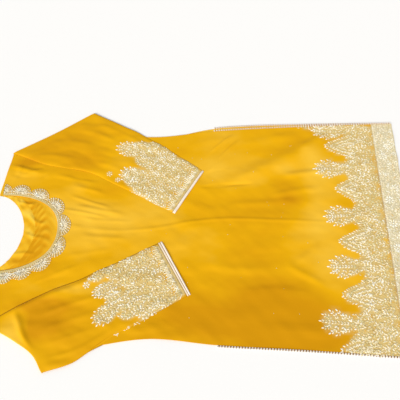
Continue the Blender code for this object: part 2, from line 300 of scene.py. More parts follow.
def rippled(plan, seed=0):
    # slight unevenness of thin cloth: a sum of long sine waves, mostly running neck to hem
    draw = np.random.default_rng(ripples["seed"] + seed)
    total = np.zeros(plan.shape[:-1])
    for _ in range(ripples["count"]):
        wave = draw.uniform(*ripples["waves"])
        tilt = draw.normal(math.pi / 2, 0.40)
        phase = draw.uniform(0, 2 * math.pi)
        warp = 0.012 * np.sin(plan[..., 0] * draw.uniform(9, 30) + draw.uniform(0, 6))
        across = plan[..., 0] * math.cos(tilt) + (plan[..., 1] + warp) * math.sin(tilt)
        total += wave / 0.045 * np.sin(2 * math.pi * across / wave + phase)
    return ripples["height"] * total


def frontLift(plan):
    # ripples, a little lower towards the hem, plus every crease
    lift = rippled(plan) * (1.10 - 0.20 * ease((plan[..., 0] + 0.10) / 0.2))
    return creased(lift, plan, frontCreases)


def smoothFloor(height, least):
    # keeps a height above a floor without a hard edge: a hyperbola between the two
    return least + 0.5 * (height - least + np.sqrt((height - least) ** 2 + 4e-8))


def frontUnder(plan):
    # under side of the front: its level plus the creases, never into the back
    return level["front"] + smoothFloor(frontLift(plan), -0.0005)


def frontTop(plan):
    return frontUnder(plan) + level["cloth"]


# where the cloth is coloured darker (negative) or lighter: painted light and painted shade of folds and
# creases, along with uneven dye; middle, reach along and across, amount
shadeAndTonePatches = (
    ((-0.26, -0.010), (0.13, 0.070), 1.0), ((-0.41, -0.155), (0.06, 0.05), 0.3),
    ((-0.315, 0.160), (0.06, 0.04), -1.1), ((0.275, 0.040), (0.045, 0.11), 1.0),
    ((0.28, -0.130), (0.04, 0.06), 0.5), ((0.03, 0.155), (0.07, 0.05), 0.6),
    ((0.02, -0.220), (0.16, 0.06), -1.0), ((0.23, -0.235), (0.12, 0.06), -1.2),
    ((0.09, -0.080), (0.10, 0.07), -0.8), ((-0.42, 0.200), (0.09, 0.05), -0.6),
    ((-0.37, -0.215), (0.10, 0.045), -0.5), ((-0.27, -0.270), (0.10, 0.05), -0.4),
    ((0.20, 0.110), (0.06, 0.05), -0.5), ((0.22, 0.215), (0.05, 0.03), -0.1),
    ((-0.18, 0.210), (0.09, 0.05), 0.1), ((-0.405, -0.262), (0.035, 0.045), 1.3),
    ((-0.335, -0.228), (0.040, 0.035), -0.8), ((-0.45, 0.170), (0.030, 0.014), -1.1),
    ((-0.06, 0.100), (0.05, 0.06), 0.4), ((0.16, -0.160), (0.06, 0.04), -0.4),
    ((-0.10, -0.245), (0.07, 0.03), 0.3), ((0.14, 0.115), (0.035, 0.018), 0.6),
    ((0.20, 0.148), (0.035, 0.020), 1.0), ((0.275, 0.205), (0.030, 0.030), 0.8),
    ((0.17, 0.204), (0.060, 0.015), -0.6), ((0.25, 0.226), (0.035, 0.012), -0.4),
    ((0.20, 0.062), (0.05, 0.014), -0.8), ((0.11, -0.200), (0.10, 0.06), -0.5),
    ((0.175, -0.262), (0.08, 0.03), -0.5), ((-0.10, 0.020), (0.05, 0.04), 0.3),
    ((-0.235, 0.085), (0.06, 0.035), -1.1), ((-0.345, -0.195), (0.060, 0.014), -1.2),
    ((-0.28, -0.160), (0.050, 0.012), 0.8), ((0.285, 0.150), (0.03, 0.04), 0.5),
    ((-0.362, -0.243), (0.020, 0.032), -1.0),
)


def shadeAndToneAt(plan):
    # sum of soft round patches of painted light, painted shade and uneven dye
    total = np.zeros(plan.shape[:-1])
    for middle, reach, amount in shadeAndTonePatches:
        total += amount * np.exp(-(((plan - middle) / reach) ** 2).sum(-1))
    return total


# mesh helpers
def withEdges(shares, rim=0.12):
    # adds a narrow step next to each end of a run of shares or points
    first = shares[0] + (shares[1] - shares[0]) * rim
    last = shares[-1] - (shares[-1] - shares[-2]) * rim
    return np.concatenate([shares[:1], [first], shares[1:-1], [last], shares[-1:]])


def gridFaces(rows, columns, around=False):
    # the four corners of each cell of a grid, which may close on itself across its columns
    i = np.arange(rows - 1)[:, None] * columns
    j = np.arange(columns if around else columns - 1)
    k = (j + 1) % columns
    corners = np.broadcast_arrays(i + j, i + columns + j, i + columns + k, i + k)
    return np.stack(corners, -1).reshape(-1, 4)


def newPiece(name, points, faces, material, values=None, wall=0.0):
    # points and faces to a mesh object, with per-point values and an optional wall
    points = np.ascontiguousarray(points.reshape(-1, 3), np.float32)
    faces = np.ascontiguousarray(faces, np.int32)
    mesh = bpy.data.meshes.new(name)
    mesh.vertices.add(len(points))
    mesh.vertices.foreach_set("co", points.ravel())
    mesh.loops.add(faces.size)
    mesh.loops.foreach_set("vertex_index", faces.ravel())
    mesh.polygons.add(len(faces))
    sides = faces.shape[1]
    mesh.polygons.foreach_set("loop_start", np.arange(0, faces.size, sides, dtype=np.int32))
    mesh.polygons.foreach_set("loop_total", np.full(len(faces), sides, np.int32))
    mesh.update(calc_edges=True)
    mesh.validate()
    mesh.shade_smooth()
    for label, value in (values or {}).items():
        layer = mesh.attributes.new(label, "FLOAT", "POINT")
        layer.data.foreach_set("value", np.ascontiguousarray(value, np.float32).ravel())
    mesh.materials.append(material)
    piece = bpy.data.objects.new(name, mesh)
    bpy.context.scene.collection.objects.link(piece)
    if wall:
        solid = piece.modifiers.new("clothWall", "SOLIDIFY")
        solid.thickness = wall
        solid.offset = 1.0
        solid.use_even_offset = False
    return piece


def finishPiece(piece, nodes):
    # everything rides on the one body; nodes are the CAD's that the piece takes the place of
    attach(piece, "root")
    if nodes:
        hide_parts(*nodes)
    return piece


def flatArea(points):
    # area of a grid of plan points: half the cross products at two corners of each cell
    a = points[1:, :-1] - points[:-1, :-1]
    b = points[:-1, 1:] - points[:-1, :-1]
    c = points[1:, :-1] - points[1:, 1:]
    d = points[:-1, 1:] - points[1:, 1:]
    doubled = [np.abs(p[..., 0] * q[..., 1] - p[..., 1] * q[..., 0]) for p, q in ((a, b), (c, d))]
    return float((doubled[0] + doubled[1]).sum() / 2)


# materials
def rgb(red, green, blue):
    # a screen colour from 0 to 255 as linear light
    c = np.array([red, green, blue]) / 255
    linear = np.where(c < 0.04045, c / 12.92, ((c + 0.055) / 1.055) ** 2.4)
    return (*linear.tolist(), 1.0)


def ramp(nodes, stops):
    made = nodes.new("ShaderNodeValToRGB")
    bar = made.color_ramp
    while len(bar.elements) < len(stops):
        bar.elements.new(0.5)
    for element, (place, colour) in zip(bar.elements, stops):
        element.position = place
        element.color = colour
    return made


def setInputs(node, settings):
    for label, value in settings.items():
        node.inputs[label].default_value = value


def newMaterial(name, settings):
    made = bpy.data.materials.new(name)
    made.use_nodes = True
    shader = made.node_tree.nodes["Principled BSDF"]
    setInputs(shader, settings)
    return made, made.node_tree.nodes, made.node_tree.links.new, shader


def attribute(nodes, label):
    made = nodes.new("ShaderNodeAttribute")
    made.attribute_name = label
    return made.outputs["Fac"]


def noise(nodes, link, source, settings):
    made = nodes.new("ShaderNodeTexNoise")
    setInputs(made, settings)
    link(source, made.inputs["Vector"])
    return made.outputs["Fac"]


def mixture(nodes, link, factor, first, blend="MIX"):
    made = nodes.new("ShaderNodeMix")
    made.data_type = "RGBA"
    made.blend_type = blend
    link(factor, made.inputs["Factor"])
    link(first, made.inputs["A"])
    return made


def bumped(nodes, link, shader, height, strength, distance):
    bump = nodes.new("ShaderNodeBump")
    setInputs(bump, {"Strength": strength, "Distance": distance})
    link(height, bump.inputs["Height"])
    link(bump.outputs["Normal"], shader.inputs["Normal"])


clothLook = {
    "tones": ((0.18, rgb(213, 149, 0)), (0.5, rgb(234, 174, 2)), (0.82, rgb(248, 197, 60))),
    "ground": (rgb(208, 176, 104), rgb(230, 204, 138)),
    "groundScale": 420.0,
    "shadeTint": rgb(186, 128, 52),
    "surface": {
        "Roughness": 0.68, "Sheen Weight": 0.08, "Sheen Roughness": 0.45, "Sheen Tint": rgb(255, 226, 150),
        "Specular IOR Level": 0.10,
    },
    "patches": {"Scale": 5.5, "Detail": 4.0, "Roughness": 0.55},
    "patchStretch": (0.6, 1.0, 1.0),
    "shadeAndToneShare": 0.27,
    "weavePitch": 0.0007,
    "weaveBump": (0.18, 0.0002),
}
borderLook = dict(clothLook, ground=(rgb(206, 190, 144), rgb(238, 228, 200)))
insideLook = dict(
    clothLook, tones=((0.25, rgb(222, 156, 8)), (0.5, rgb(243, 186, 34)), (0.75, rgb(255, 210, 72))),
)


def clothMaterial(name, look):
    # woven cloth: cloudy tone with painted light and painted shade from its patches, a ground of fine thread
    # where it is worked, a painted shadow multiplied in where the shade value is set, and a plain weave
    made, nodes, link, shader = newMaterial(name, look["surface"])
    place = nodes.new("ShaderNodeTexCoord").outputs["Object"]
    stretch = nodes.new("ShaderNodeMapping")
    stretch.inputs["Scale"].default_value = look["patchStretch"]
    link(place, stretch.inputs["Vector"])
    cloud = noise(nodes, link, stretch.outputs["Vector"], look["patches"])
    # the patch value adds painted light and painted shade to the cloudy tone
    mixed = nodes.new("ShaderNodeMath")
    mixed.operation = "MULTIPLY_ADD"
    mixed.inputs[1].default_value = look["shadeAndToneShare"]
    link(attribute(nodes, "shadeAndTone"), mixed.inputs[0])
    link(cloud, mixed.inputs[2])
    shadeAndTone = ramp(nodes, look["tones"])
    link(mixed.outputs["Value"], shadeAndTone.inputs["Fac"])
    fine = noise(nodes, link, place, {"Scale": look["groundScale"], "Detail": 2.0})
    ground = ramp(nodes, ((0.35, look["ground"][0]), (0.65, look["ground"][1])))
    link(fine, ground.inputs["Fac"])
    blend = mixture(nodes, link, attribute(nodes, "worked"), shadeAndTone.outputs["Color"])
    link(ground.outputs["Color"], blend.inputs["B"])
    # the shade value multiplies in a painted shadow
    darker = mixture(nodes, link, attribute(nodes, "shade"), blend.outputs["Result"], "MULTIPLY")
    darker.inputs["B"].default_value = look["shadeTint"]
    link(darker.outputs["Result"], shader.inputs["Base Color"])
    both = nodes.new("ShaderNodeMath")
    both.operation = "MULTIPLY"
    for k, axis in enumerate("XY"):
        thread = nodes.new("ShaderNodeTexWave")
        thread.bands_direction = axis
        setInputs(thread, {"Scale": 0.314 / look["weavePitch"], "Distortion": 0.4})
        link(place, thread.inputs["Vector"])
        link(thread.outputs["Fac"], both.inputs[k])
    bumped(nodes, link, shader, both.outputs["Value"], *look["weaveBump"])
    return made


threadLook = {
    "tints": (
        (0.0, rgb(226, 176, 62)), (0.2, rgb(212, 184, 112)), (0.4, rgb(222, 212, 160)),
        (0.6, rgb(244, 226, 184)), (0.8, rgb(255, 244, 212)), (1.0, rgb(255, 253, 240)),
    ),
    "surface": {"Roughness": 0.42, "Metallic": 0.05, "Sheen Weight": 0.2},
    "strandScale": 1500.0,
    "strandBump": (0.25, 0.0003),
}
pipingLook = {
    "tints": (
        (0.0, rgb(112, 90, 62)), (0.35, rgb(206, 158, 92)),
        (0.6, rgb(240, 214, 176)), (1.0, rgb(255, 246, 236)),
    ),
    "surface": {"Roughness": 0.42, "Sheen Weight": 0.3},
    "strandScale": 900.0,
    "strandBump": (0.3, 0.0003),
}


def strandMaterial(name, look):
    # silky thread, beads or piping: the tint of each point picks its colour
    made, nodes, link, shader = newMaterial(name, look["surface"])
    colour = ramp(nodes, look["tints"])
    link(attribute(nodes, "tint"), colour.inputs["Fac"])
    link(colour.outputs["Color"], shader.inputs["Base Color"])
    place = nodes.new("ShaderNodeTexCoord").outputs["Object"]
    strands = noise(nodes, link, place, {"Scale": look["strandScale"]})
    bumped(nodes, link, shader, strands, *look["strandBump"])
    return made


mustard = clothMaterial("mustardCloth", clothLook)
borderCloth = clothMaterial("borderCloth", borderLook)
mustardInside = clothMaterial("mustardInside", insideLook)
goldThread = strandMaterial("goldThread", threadLook)
piping = strandMaterial("piping", pipingLook)
print("materials ready")

# stitches
# a place is (up, across, angle, length, width, height, tint); up runs from the hem or cuff
# to the neck, and an angle turns from up towards across
leafPoints = np.array([
    (0.0, 0.0, 0.0), (0.30, -0.46, 0.0), (0.68, -0.42, 0.0), (1.0, 0.0, 0.0),
    (0.68, 0.42, 0.0), (0.30, 0.46, 0.0), (0.32, 0.0, 1.0), (0.70, 0.0, 0.9),
])
leafFaces = np.array([
    (0, 1, 6), (1, 2, 7), (1, 7, 6), (2, 3, 7), (3, 4, 7), (4, 5, 6), (4, 6, 7), (5, 0, 6),
    (0, 5, 1), (1, 5, 4), (1, 4, 2), (2, 4, 3),
])
beadTurn = np.arange(6) * math.pi / 3
beadRim = np.stack([0.5 * np.cos(beadTurn), 0.5 * np.sin(beadTurn), np.full(6, 0.45)], -1)
beadPoints = np.concatenate([beadRim, [(0, 0, 1.0)], [(0, 0, 0.0)]])
beadFaces = np.array([(k, (k + 1) % 6, 6) for k in range(6)] + [((k + 1) % 6, k, 7) for k in range(6)])


def patchy(up, across):
    # slow unevenness between -1 and 1: the product of two warped sine waves
    return np.sin(up * 150 + 2 * np.sin(across * 70)) * np.sin(across * 120 + 2 * np.sin(up * 90) + 1)


def thinned(found, least=0.5):
    # leaves out more of the stitches where the unevenness is low
    keep = least + (1 - least) * ease(0.75 + 0.9 * patchy(found[:, 0] + 0.011, found[:, 1]))
    return found[rng.uniform(0, 1, len(found)) < keep]


def stitched(name, leafPlaces, beadPlaces, surface, mirrored, material):
    # every stitch is its small form, turned and sized at its place, then set on the cloth's surface
    points, faces, tints, used = [], [], [], 0
    for form, formFaces, places in ((leafPoints, leafFaces, leafPlaces), (beadPoints, beadFaces, beadPlaces)):
        if not len(places):
            continue
        up, across, angle, length, width, height, tint = (places[:, k, None] for k in range(7))
        along = form[None, :, 0] * length
        aside = form[None, :, 1] * width
        a = up + along * np.cos(angle) - aside * np.sin(angle)
        b = across + along * np.sin(angle) + aside * np.cos(angle)
        plan, top = surface(a, b)
        z = top + form[None, :, 2] * height - 0.00015
        points.append(raised(plan, z).reshape(-1, 3))
        tint = np.clip(tint + 0.22 * patchy(up, across), 0, 1)
        start = used + np.arange(len(places))[:, None, None] * len(form)
        faces.append((start + formFaces).reshape(-1, 3))
        tints.append(np.broadcast_to(tint, z.shape).ravel())
        used += z.size
    faces = np.concatenate(faces)
    if mirrored:
        faces = faces[:, ::-1]
    return newPiece(name, np.concatenate(points), faces, material, {"tint": np.concatenate(tints)})


def places(up, across, angle, length, width, height, tint):
    columns = [np.asarray(v, float) for v in (up, across, angle, length, width, height, tint)]
    return np.stack(np.broadcast_arrays(*columns), -1).reshape(-1, 7)


def frond(path, pitch, spread, leaf, taper=(1.0, 0.7), tint=(0.5, 1.0)):
    # pairs of leaves along a curved stem, smaller towards its tip, with one leaf at the tip
    path = np.array(path, float)
    count = max(1, int(np.linalg.norm(np.diff(path, axis=0), axis=1).sum() / pitch))
    share = (np.arange(count) + 0.25) / count
    stem = smoothPath(path, share)
    ahead = smoothPath(path, share + 0.01) - stem
    heading = np.arctan2(ahead[:, 1], ahead[:, 0])
    size = taper[0] + (taper[1] - taper[0]) * share
    made = []
    for side in (-1, 1):
        turn = heading + side * (spread + rng.normal(0, 0.09, count))
        shade = rng.uniform(*tint, count)
        made.append(places(*stem.T, turn, leaf[0] * size, leaf[1] * size, leaf[2], shade))
    last = taper[1] * 1.15
    made.append(places(*path[-1], heading[-1], leaf[0] * last, leaf[1] * last, leaf[2], tint[1]))
    return np.concatenate(made)


def stemBeads(base, tip, pitch, size, tint=(0.1, 0.5)):
    # beads in a straight row from base to tip
    base, tip = np.array(base, float), np.array(tip, float)
    count = max(2, int(np.linalg.norm(tip - base) / pitch))
    at = base + (tip - base) * np.linspace(0, 1, count)[:, None]
    heading = math.atan2(tip[1] - base[1], tip[0] - base[0])
    return places(*at.T, heading, size * 1.3, size, size * 0.55, rng.uniform(*tint, count))


def sprig(tip, length, width, lean, leaf, tint=(0.42, 0.95)):
    # a leafy spray: twigs open wider from the tip to the middle and close again at the foot
    tip = np.array(tip, float)
    ahead = np.array([math.cos(lean), math.sin(lean)])
    aside = np.array([-ahead[1], ahead[0]])
    base = tip - ahead * length
    leaves = [frond((base + ahead * 0.006, tip - ahead * 0.007), 0.0066, 0.55, leaf, (0.85, 0.95), tint)]
    beads = [stemBeads(base - ahead * 0.012, tip - ahead * 0.010, 0.0040, 0.0020)]
    for station, reach in ((0.02, 0.66), (0.22, 1.0), (0.42, 0.92), (0.62, 0.56)):
        root = base + ahead * length * station
        for side in (-1, 1):
            end = root + ahead * length * 0.22 + aside * side * reach * width * 0.44
            bend = (root + end) / 2 + aside * side * 0.003 - ahead * 0.002
            twig = (root + (bend - root) * 0.40, bend, end)
            leaves.append(frond(twig, 0.0058, 0.66, leaf, (0.95, 0.88), tint))
            beads.append(stemBeads(root, bend, 0.0042, 0.0017))
    return np.concatenate(leaves), np.concatenate(beads)


def arches(tip, length, half, lean, leaf, gap, tint=(0.40, 0.92)):
    # nested pointed arches of slanting leaves: an arch's half width grows as a root of the way down
    tip = np.array(tip, float)
    leaves, beads = [], [stemBeads(tip - (length * 0.9, 0), tip - (0.006, 0), 0.0046, 0.0024, (0.3, 0.9))]
    for ring in range(int(half / gap)):
        inset = ring * gap
        down, reach = length - 1.45 * inset, half - inset
        if down < 0.012:
            break
        fine = np.linspace(0.0, 1.0, 60)
        line = np.stack([tip[0] - 1.45 * inset - down * fine, reach * fine**0.66], -1)
        run = runOf(line)
        at = np.arange(0.0025, run[-1], leaf[0] * 0.74)
        up, across = between(at, run, line).T
        slope = np.arctan2(np.gradient(across), -np.gradient(up)) if len(at) > 1 else np.zeros(1)
        outward = 0.95 if ring == 0 else (-0.40 if ring % 2 else 0.55)
        for side in (-1, 1):
            turn = side * (outward - slope) + rng.normal(0, 0.22, len(at))
            shade = rng.uniform(*tint, len(at)) - (0.0 if ring == 0 else 0.08)
            slack = rng.uniform(-0.0008, 0.0008, (2, len(at)))
            size = leaf[0] * rng.uniform(0.8, 1.1, len(at))
            aside = tip[1] + side * across + slack[1]
            leaves.append(places(up + slack[0], aside, turn, size, *leaf[1:], shade))
    keep = np.concatenate(leaves)
    turn = np.array([[math.cos(lean), -math.sin(lean)], [math.sin(lean), math.cos(lean)]])
    keep[:, :2] = (keep[:, :2] - tip) @ turn.T + tip
    keep[:, 2] += lean
    beads.append(places(tip[0] + 0.002, tip[1], 0, 0.0034, 0.0034, 0.0015, 0.95))
    return keep, np.concatenate(beads)


def scrolls(upRange, acrossRange, cell, top, leaf, tint):
    # short curling fronds on a staggered grid, kept below a boundary
    made = []
    for i, up in enumerate(np.arange(upRange[0], upRange[1], cell[0])):
        for k, across in enumerate(np.arange(acrossRange[0], acrossRange[1], cell[1])):
            start = np.array([up + (k % 3) * cell[0] / 3, across]) + rng.uniform(-0.0015, 0.0015, 2)
            side = 1 if (i + k) % 2 else -1
            bend = start + (cell[0] * 0.55, side * cell[1] * rng.uniform(0.15, 0.35))
            end = start + (cell[0] * 1.02, side * cell[1] * rng.uniform(-0.55, 0.10))
            if end[0] < top(end[1]):
                made.append(frond((start, bend, end), 0.0060, 0.72, leaf, (1.05, 0.85), tint))
    return np.concatenate(made)


def rosette(centre, radius, petals, tint=(0.6, 1.0)):
    # a ring of petals round a bead
    turn = np.arange(petals) * 2 * math.pi / petals + rng.uniform(0, 1)
    core = 0.25 * radius
    root = centre[0] + core * np.cos(turn), centre[1] + core * np.sin(turn)
    leaves = places(*root, turn, radius * 0.75, radius * 0.42, 0.0011, rng.uniform(*tint, petals))
    beads = places(centre[0], centre[1], 0, core * 1.5, core * 1.5, 0.0016, 0.9)
    return leaves, beads


def grains(upRange, acrossRange, pitch, heading, size, tint, jitter=0.35):
    # short stitches on a jittered brick grid, turned by a flow of direction
    ups = np.arange(upRange[0], upRange[1], pitch[0])
    cross = np.arange(acrossRange[0], acrossRange[1], pitch[1])
    up, across = np.meshgrid(ups, cross, indexing="ij")
    across = across + (np.arange(len(ups)) % 2)[:, None] * pitch[1] / 2
    up = up.ravel() + rng.uniform(-jitter, jitter, up.size) * pitch[0]
    across = across.ravel() + rng.uniform(-jitter, jitter, across.size) * pitch[1]
    turn = heading(up, across) + rng.normal(0, 0.25, up.size)
    length = rng.uniform(0.8, 1.2, up.size) * size[0]
    return places(up, across, turn, length, size[1], size[2], rng.uniform(*tint, up.size))


# hem work
filling = {"pitch": (0.0066, 0.0060), "size": (0.0056, 0.0029, 0.0009), "tint": (0.1, 0.65)}
hemWork = {
    "sprigs": (
        (0.180, -0.2245, 0.10), (0.150, -0.1045, 0.0), (0.147, 0.0205, -0.05), (0.160, 0.1545, 0.0),
        (0.155, 0.274, 0.05),
    ),
    "sprigSize": (0.074, 0.054),
    "arches": (
        (0.134, -0.284, 0.05), (0.119, -0.1695, 0.0), (0.112, -0.0445, 0.0), (0.107, 0.0965, 0.0),
        (0.121, 0.2235, 0.0),
    ),
    "archHalf": 0.0325,
    "archGap": 0.0054,
    "scrollCell": (0.0225, 0.0125),
    "denseTop": 0.066,
    "leaf": (0.0084, 0.0041, 0.0012),
    "sprigLeaf": (0.0086, 0.0041, 0.0013),
}


def inBody(found, border=0.0008):
    # the stitches that lie on the cut
    x = cut["borderX"] - found[:, 0]
    return found[np.abs(found[:, 1]) < halfWidth(x) - border]


def hemPlaces(w):
    leaves, beads = [], []
    for up, across, lean in w["sprigs"]:
        made = sprig((up, across), *w["sprigSize"], lean, w["sprigLeaf"])
        leaves.append(made[0])
        beads.append(made[1])
    for up, across, lean in w["arches"]:
        length = up - w["denseTop"] + 0.016
        made = arches((up, across), length, w["archHalf"], lean, w["leaf"], w["archGap"])
        leaves.append(made[0])
        beads.append(made[1])

    def top(across):
        rise = 0.0
        for up, middle, _ in w["sprigs"]:
            foot = max(0.008, up - 0.071 - w["denseTop"])
            rise = np.maximum(rise, foot * np.exp(-((np.abs(across - middle) / 0.023) ** 3)))
        rise = np.maximum(rise, 0.045 * ease((-across - 0.232) / 0.020))
        return w["denseTop"] + 0.005 + rise

    def flow(up, across):
        return 0.9 * np.sin(across * 2 * math.pi / 0.025) + 0.5 * np.sin(up * 90)

    leaves.append(scrolls((0.002, 0.112), (-0.290, 0.292), w["scrollCell"], top, w["leaf"], (0.25, 0.85)))
    fill = grains((0.002, 0.115), (-0.290, 0.290), filling["pitch"], flow, filling["size"], filling["tint"])
    leaves.append(thinned(fill[fill[:, 0] < top(fill[:, 1]) - 0.002], 0.45))
    sequin, sequinPitch = (0.0034, 0.0034, 0.0020), (0.0150, 0.0140)
    beads.append(grains((0.006, w["denseTop"]), (-0.288, 0.288), sequinPitch, flow, sequin, (0.5, 1.0), 0.9))
    # a narrow strip of leaves runs up the left edge
    down = grains((0.075, 0.185), (0.255, 0.300), (0.0064, 0.0052), flow, (0.0072, 0.0034, 0.0011), (0.3, 1.0))
    depth = 0.004 + 0.016 * ease((0.20 - down[:, 0]) / 0.09)
    leaves.append(down[down[:, 1] > halfWidth(cut["borderX"] - down[:, 0]) - depth])
    return inBody(np.concatenate(leaves)), inBody(np.concatenate(beads))


borderWork = {
    "rosettePitch": 0.0316,
    "rosette": 0.0125,
    "pitch": (0.0054, 0.0052),
    "leaf": (0.0066, 0.0034, 0.0011),
    "rows": (-0.0035, -0.0490),
}


def borderPlaces(w):
    # up is negative here: the border lies below the seam
    def flow(up, across):
        return math.pi / 2 + 1.1 * np.sin(across * 2 * math.pi / w["rosettePitch"]) + 0.7 * np.sin(up * 160)

    fill = grains((-0.0500, -0.0025), (-0.292, 0.292), w["pitch"], flow, w["leaf"], (0.25, 1.0))
    leaves, beads = [thinned(fill, 0.8)], []
    for k, across in enumerate(np.arange(-0.280, 0.285, w["rosettePitch"])):
        made = rosette((-0.0175 if k % 2 else -0.034, across), w["rosette"], 8, (0.8, 1.0))
        leaves.append(made[0])
        beads.append(made[1])
    for up in w["rows"]:
        row = np.arange(-0.294, 0.294, 0.0052)
        leaves.append(places(up, row, math.pi / 2, 0.0052, 0.0030, 0.0013, rng.uniform(0.5, 1.0, len(row))))
    return inBody(np.concatenate(leaves)), inBody(np.concatenate(beads))


scatter = {"count": 46, "seed": 12, "up": (0.16, 0.62), "across": (-0.25, 0.25)}


def scatterPlaces(s):
    # loose sequins on the plain cloth
    draw = np.random.default_rng(s["seed"])
    up = draw.uniform(*s["up"], s["count"])
    across = draw.uniform(*s["across"], s["count"])
    size = draw.uniform(0.0014, 0.0022, s["count"])
    return places(up, across, 0, size, size, size * 0.4, draw.uniform(0.2, 0.7, s["count"]))


hemLeaves, hemBeads = hemPlaces(hemWork)
borderLeaves, borderBeads = borderPlaces(borderWork)
hemBeads = np.concatenate([hemBeads, scatterPlaces(scatter)])


groundSet = {"pitch": 0.004, "leafShare": 0.6, "least": 0.09, "smoothing": 3}


def workedGround(placesList, up, across, full=0.42):
    # how thickly the cloth is worked at each point: the stitches' own area on a grid, blurred
    pitch = groundSet["pitch"]
    every = np.concatenate(placesList)
    upEdges = np.arange(every[:, 0].min() - 0.02, every[:, 0].max() + 0.02, pitch)
    acrossEdges = np.arange(every[:, 1].min() - 0.02, every[:, 1].max() + 0.02, pitch)
    weights = every[:, 3] * every[:, 4] * groundSet["leafShare"] / pitch**2
    share, _, _ = np.histogram2d(every[:, 0], every[:, 1], bins=(upEdges, acrossEdges), weights=weights)
    kernel = np.array([0.25, 0.5, 0.25])
    for _ in range(groundSet["smoothing"]):
        share = np.apply_along_axis(np.convolve, 0, share, kernel, "same")
        share = np.apply_along_axis(np.convolve, 1, share, kernel, "same")
    i = (up - upEdges[0]) / pitch - 0.5
    j = (across - acrossEdges[0]) / pitch - 0.5
    inside = (i > 0) & (j > 0) & (i < share.shape[0] - 1) & (j < share.shape[1] - 1)
    i0 = np.clip(i.astype(int), 0, share.shape[0] - 2)
    j0 = np.clip(j.astype(int), 0, share.shape[1] - 2)
    s, t = np.clip(i - i0, 0, 1), np.clip(j - j0, 0, 1)
    mixed = (
        share[i0, j0] * (1 - s) * (1 - t) + share[i0 + 1, j0] * s * (1 - t)
        + share[i0, j0 + 1] * (1 - s) * t + share[i0 + 1, j0 + 1] * s * t
    )
    return np.where(inside, ease((mixed - groundSet["least"]) / full), 0.0)


print("hem stitches", len(hemLeaves) + len(hemBeads), "border", len(borderLeaves) + len(borderBeads))

# back panel and its facing
backSet = {"rows": 140, "arm": 10, "shoulder": 14, "neck": 80, "wrinkle": 0.0016}


def bodyGrid(s, cutNeck, xTo, leftWidth, gather=1.0):
    # rows by columns of cut points, columns fanning from the upper outline to a straight row
    top = withEdges(topOutline(neckline(*cutNeck, s["neck"]), s["arm"], s["shoulder"]))
    start = top[:, 1] / halfWidth(top[:, 0])
    run = runOf(top)
    even = 2 * run / run[-1] - 1
    down = withEdges(np.linspace(0, 1, s["rows"] + 1) ** gather)[:, None]
    across = start + (even - start) * (1 - (1 - down) ** 9)
    x = top[:, 0] + (xTo - top[:, 0]) * down
    width = np.where(across > 0, leftWidth(x), halfWidth(x))
    return np.stack([x, across * width], -1)


def insideNeck(plan):
    # 1 in the middle of the part of the back that shows inside the front neckline, 0 outside it
    front = onTable(*neckline(*cut["frontNeck"], 80).T)
    below = np.interp(plan[..., 1], front[:, 1], front[:, 0])
    side = ease((plan[..., 1] - front[0, 1]) / 0.02) * ease((front[-1, 1] - plan[..., 1]) / 0.02)
    return ease((below - plan[..., 0]) / 0.02) * side


def insideWave(plan):
    # the small rumples inside the neck: two warped sine waves multiplied
    x, y = plan[..., 0], plan[..., 1]
    return np.sin(y * 260 + 9 * np.sin(x * 55)) * np.sin(x * 120 + y * 40)


neckTucks = (
    (((-0.425, 0.030), (-0.40, 0.004), (-0.372, -0.002)), 0.008, 0.0024),
    (((-0.43, -0.02), (-0.40, -0.034), (-0.37, -0.036)), 0.007, 0.0022),
    (((-0.45, -0.085), (-0.42, -0.075), (-0.385, -0.078)), 0.007, 0.0018),
    (((-0.46, 0.060), (-0.43, 0.052), (-0.405, 0.050)), 0.007, 0.0020),
)


def backTop(plan):
    # flat, but rumpled and tucked where it shows inside the neck
    tuck = sum(ridge(plan, *one) for one in neckTucks)
    rumple = backSet["wrinkle"] * (0.5 + 0.5 * insideWave(plan))
    return level["cloth"] + insideNeck(plan) * (rumple + tuck)


def makeBack(s):
    # a closed sheet: the rumpled top, a flat under side at 0, and a rim between them
    points = bodyGrid(s, cut["backNeck"], cut["hemX"], backLeftWidth, 1.6)
    plan = onTable(points[..., 0], points[..., 1])
    top = backTop(plan)
    upper, lower = raised(plan, top), raised(plan, np.zeros_like(top))
    rows, columns = top.shape
    up = gridFaces(rows, columns)
    rim = np.concatenate([
        np.arange(columns), np.arange(1, rows) * columns + columns - 1,
        (rows - 1) * columns + np.arange(columns - 2, -1, -1), np.arange(rows - 2, 0, -1) * columns,
    ])
    after = np.roll(rim, -1)
    side = np.stack([rim, after, after + rows * columns, rim + rows * columns], -1)
    faces = np.concatenate([up, up[:, ::-1] + rows * columns, side])
    x, y = points[..., 0], points[..., 1]
    ground = workedGround([hemLeaves, borderLeaves], cut["borderX"] - x, y)
    # its upper side is worked only where it shows past the front at the hem
    slip = 0.9 * ease((y - halfWidth(x) + 0.002) / 0.002) * ease((x - 0.30) / 0.05)
    values = {
        "worked": np.concatenate([slip.ravel(), ground.ravel()]),
        "shade": np.zeros(2 * rows * columns),
        # inside the neck the colour is darker all over, and darker still where the rumples dip: painted shade
        # in their troughs
        "shadeAndTone": np.tile((insideNeck(plan) * (0.6 * insideWave(plan) - 0.6)).ravel(), 2),
    }
    piece = newPiece("backPanelCloth", np.concatenate([upper, lower]), faces, mustardInside, values)
    return finishPiece(piece, ["back_panel"]), flatArea(points)


backPiece, backArea = makeBack(backSet)

facingSet = {"width": 0.027, "clear": 0.003, "thick": 0.0002, "columns": 90, "rows": 8}


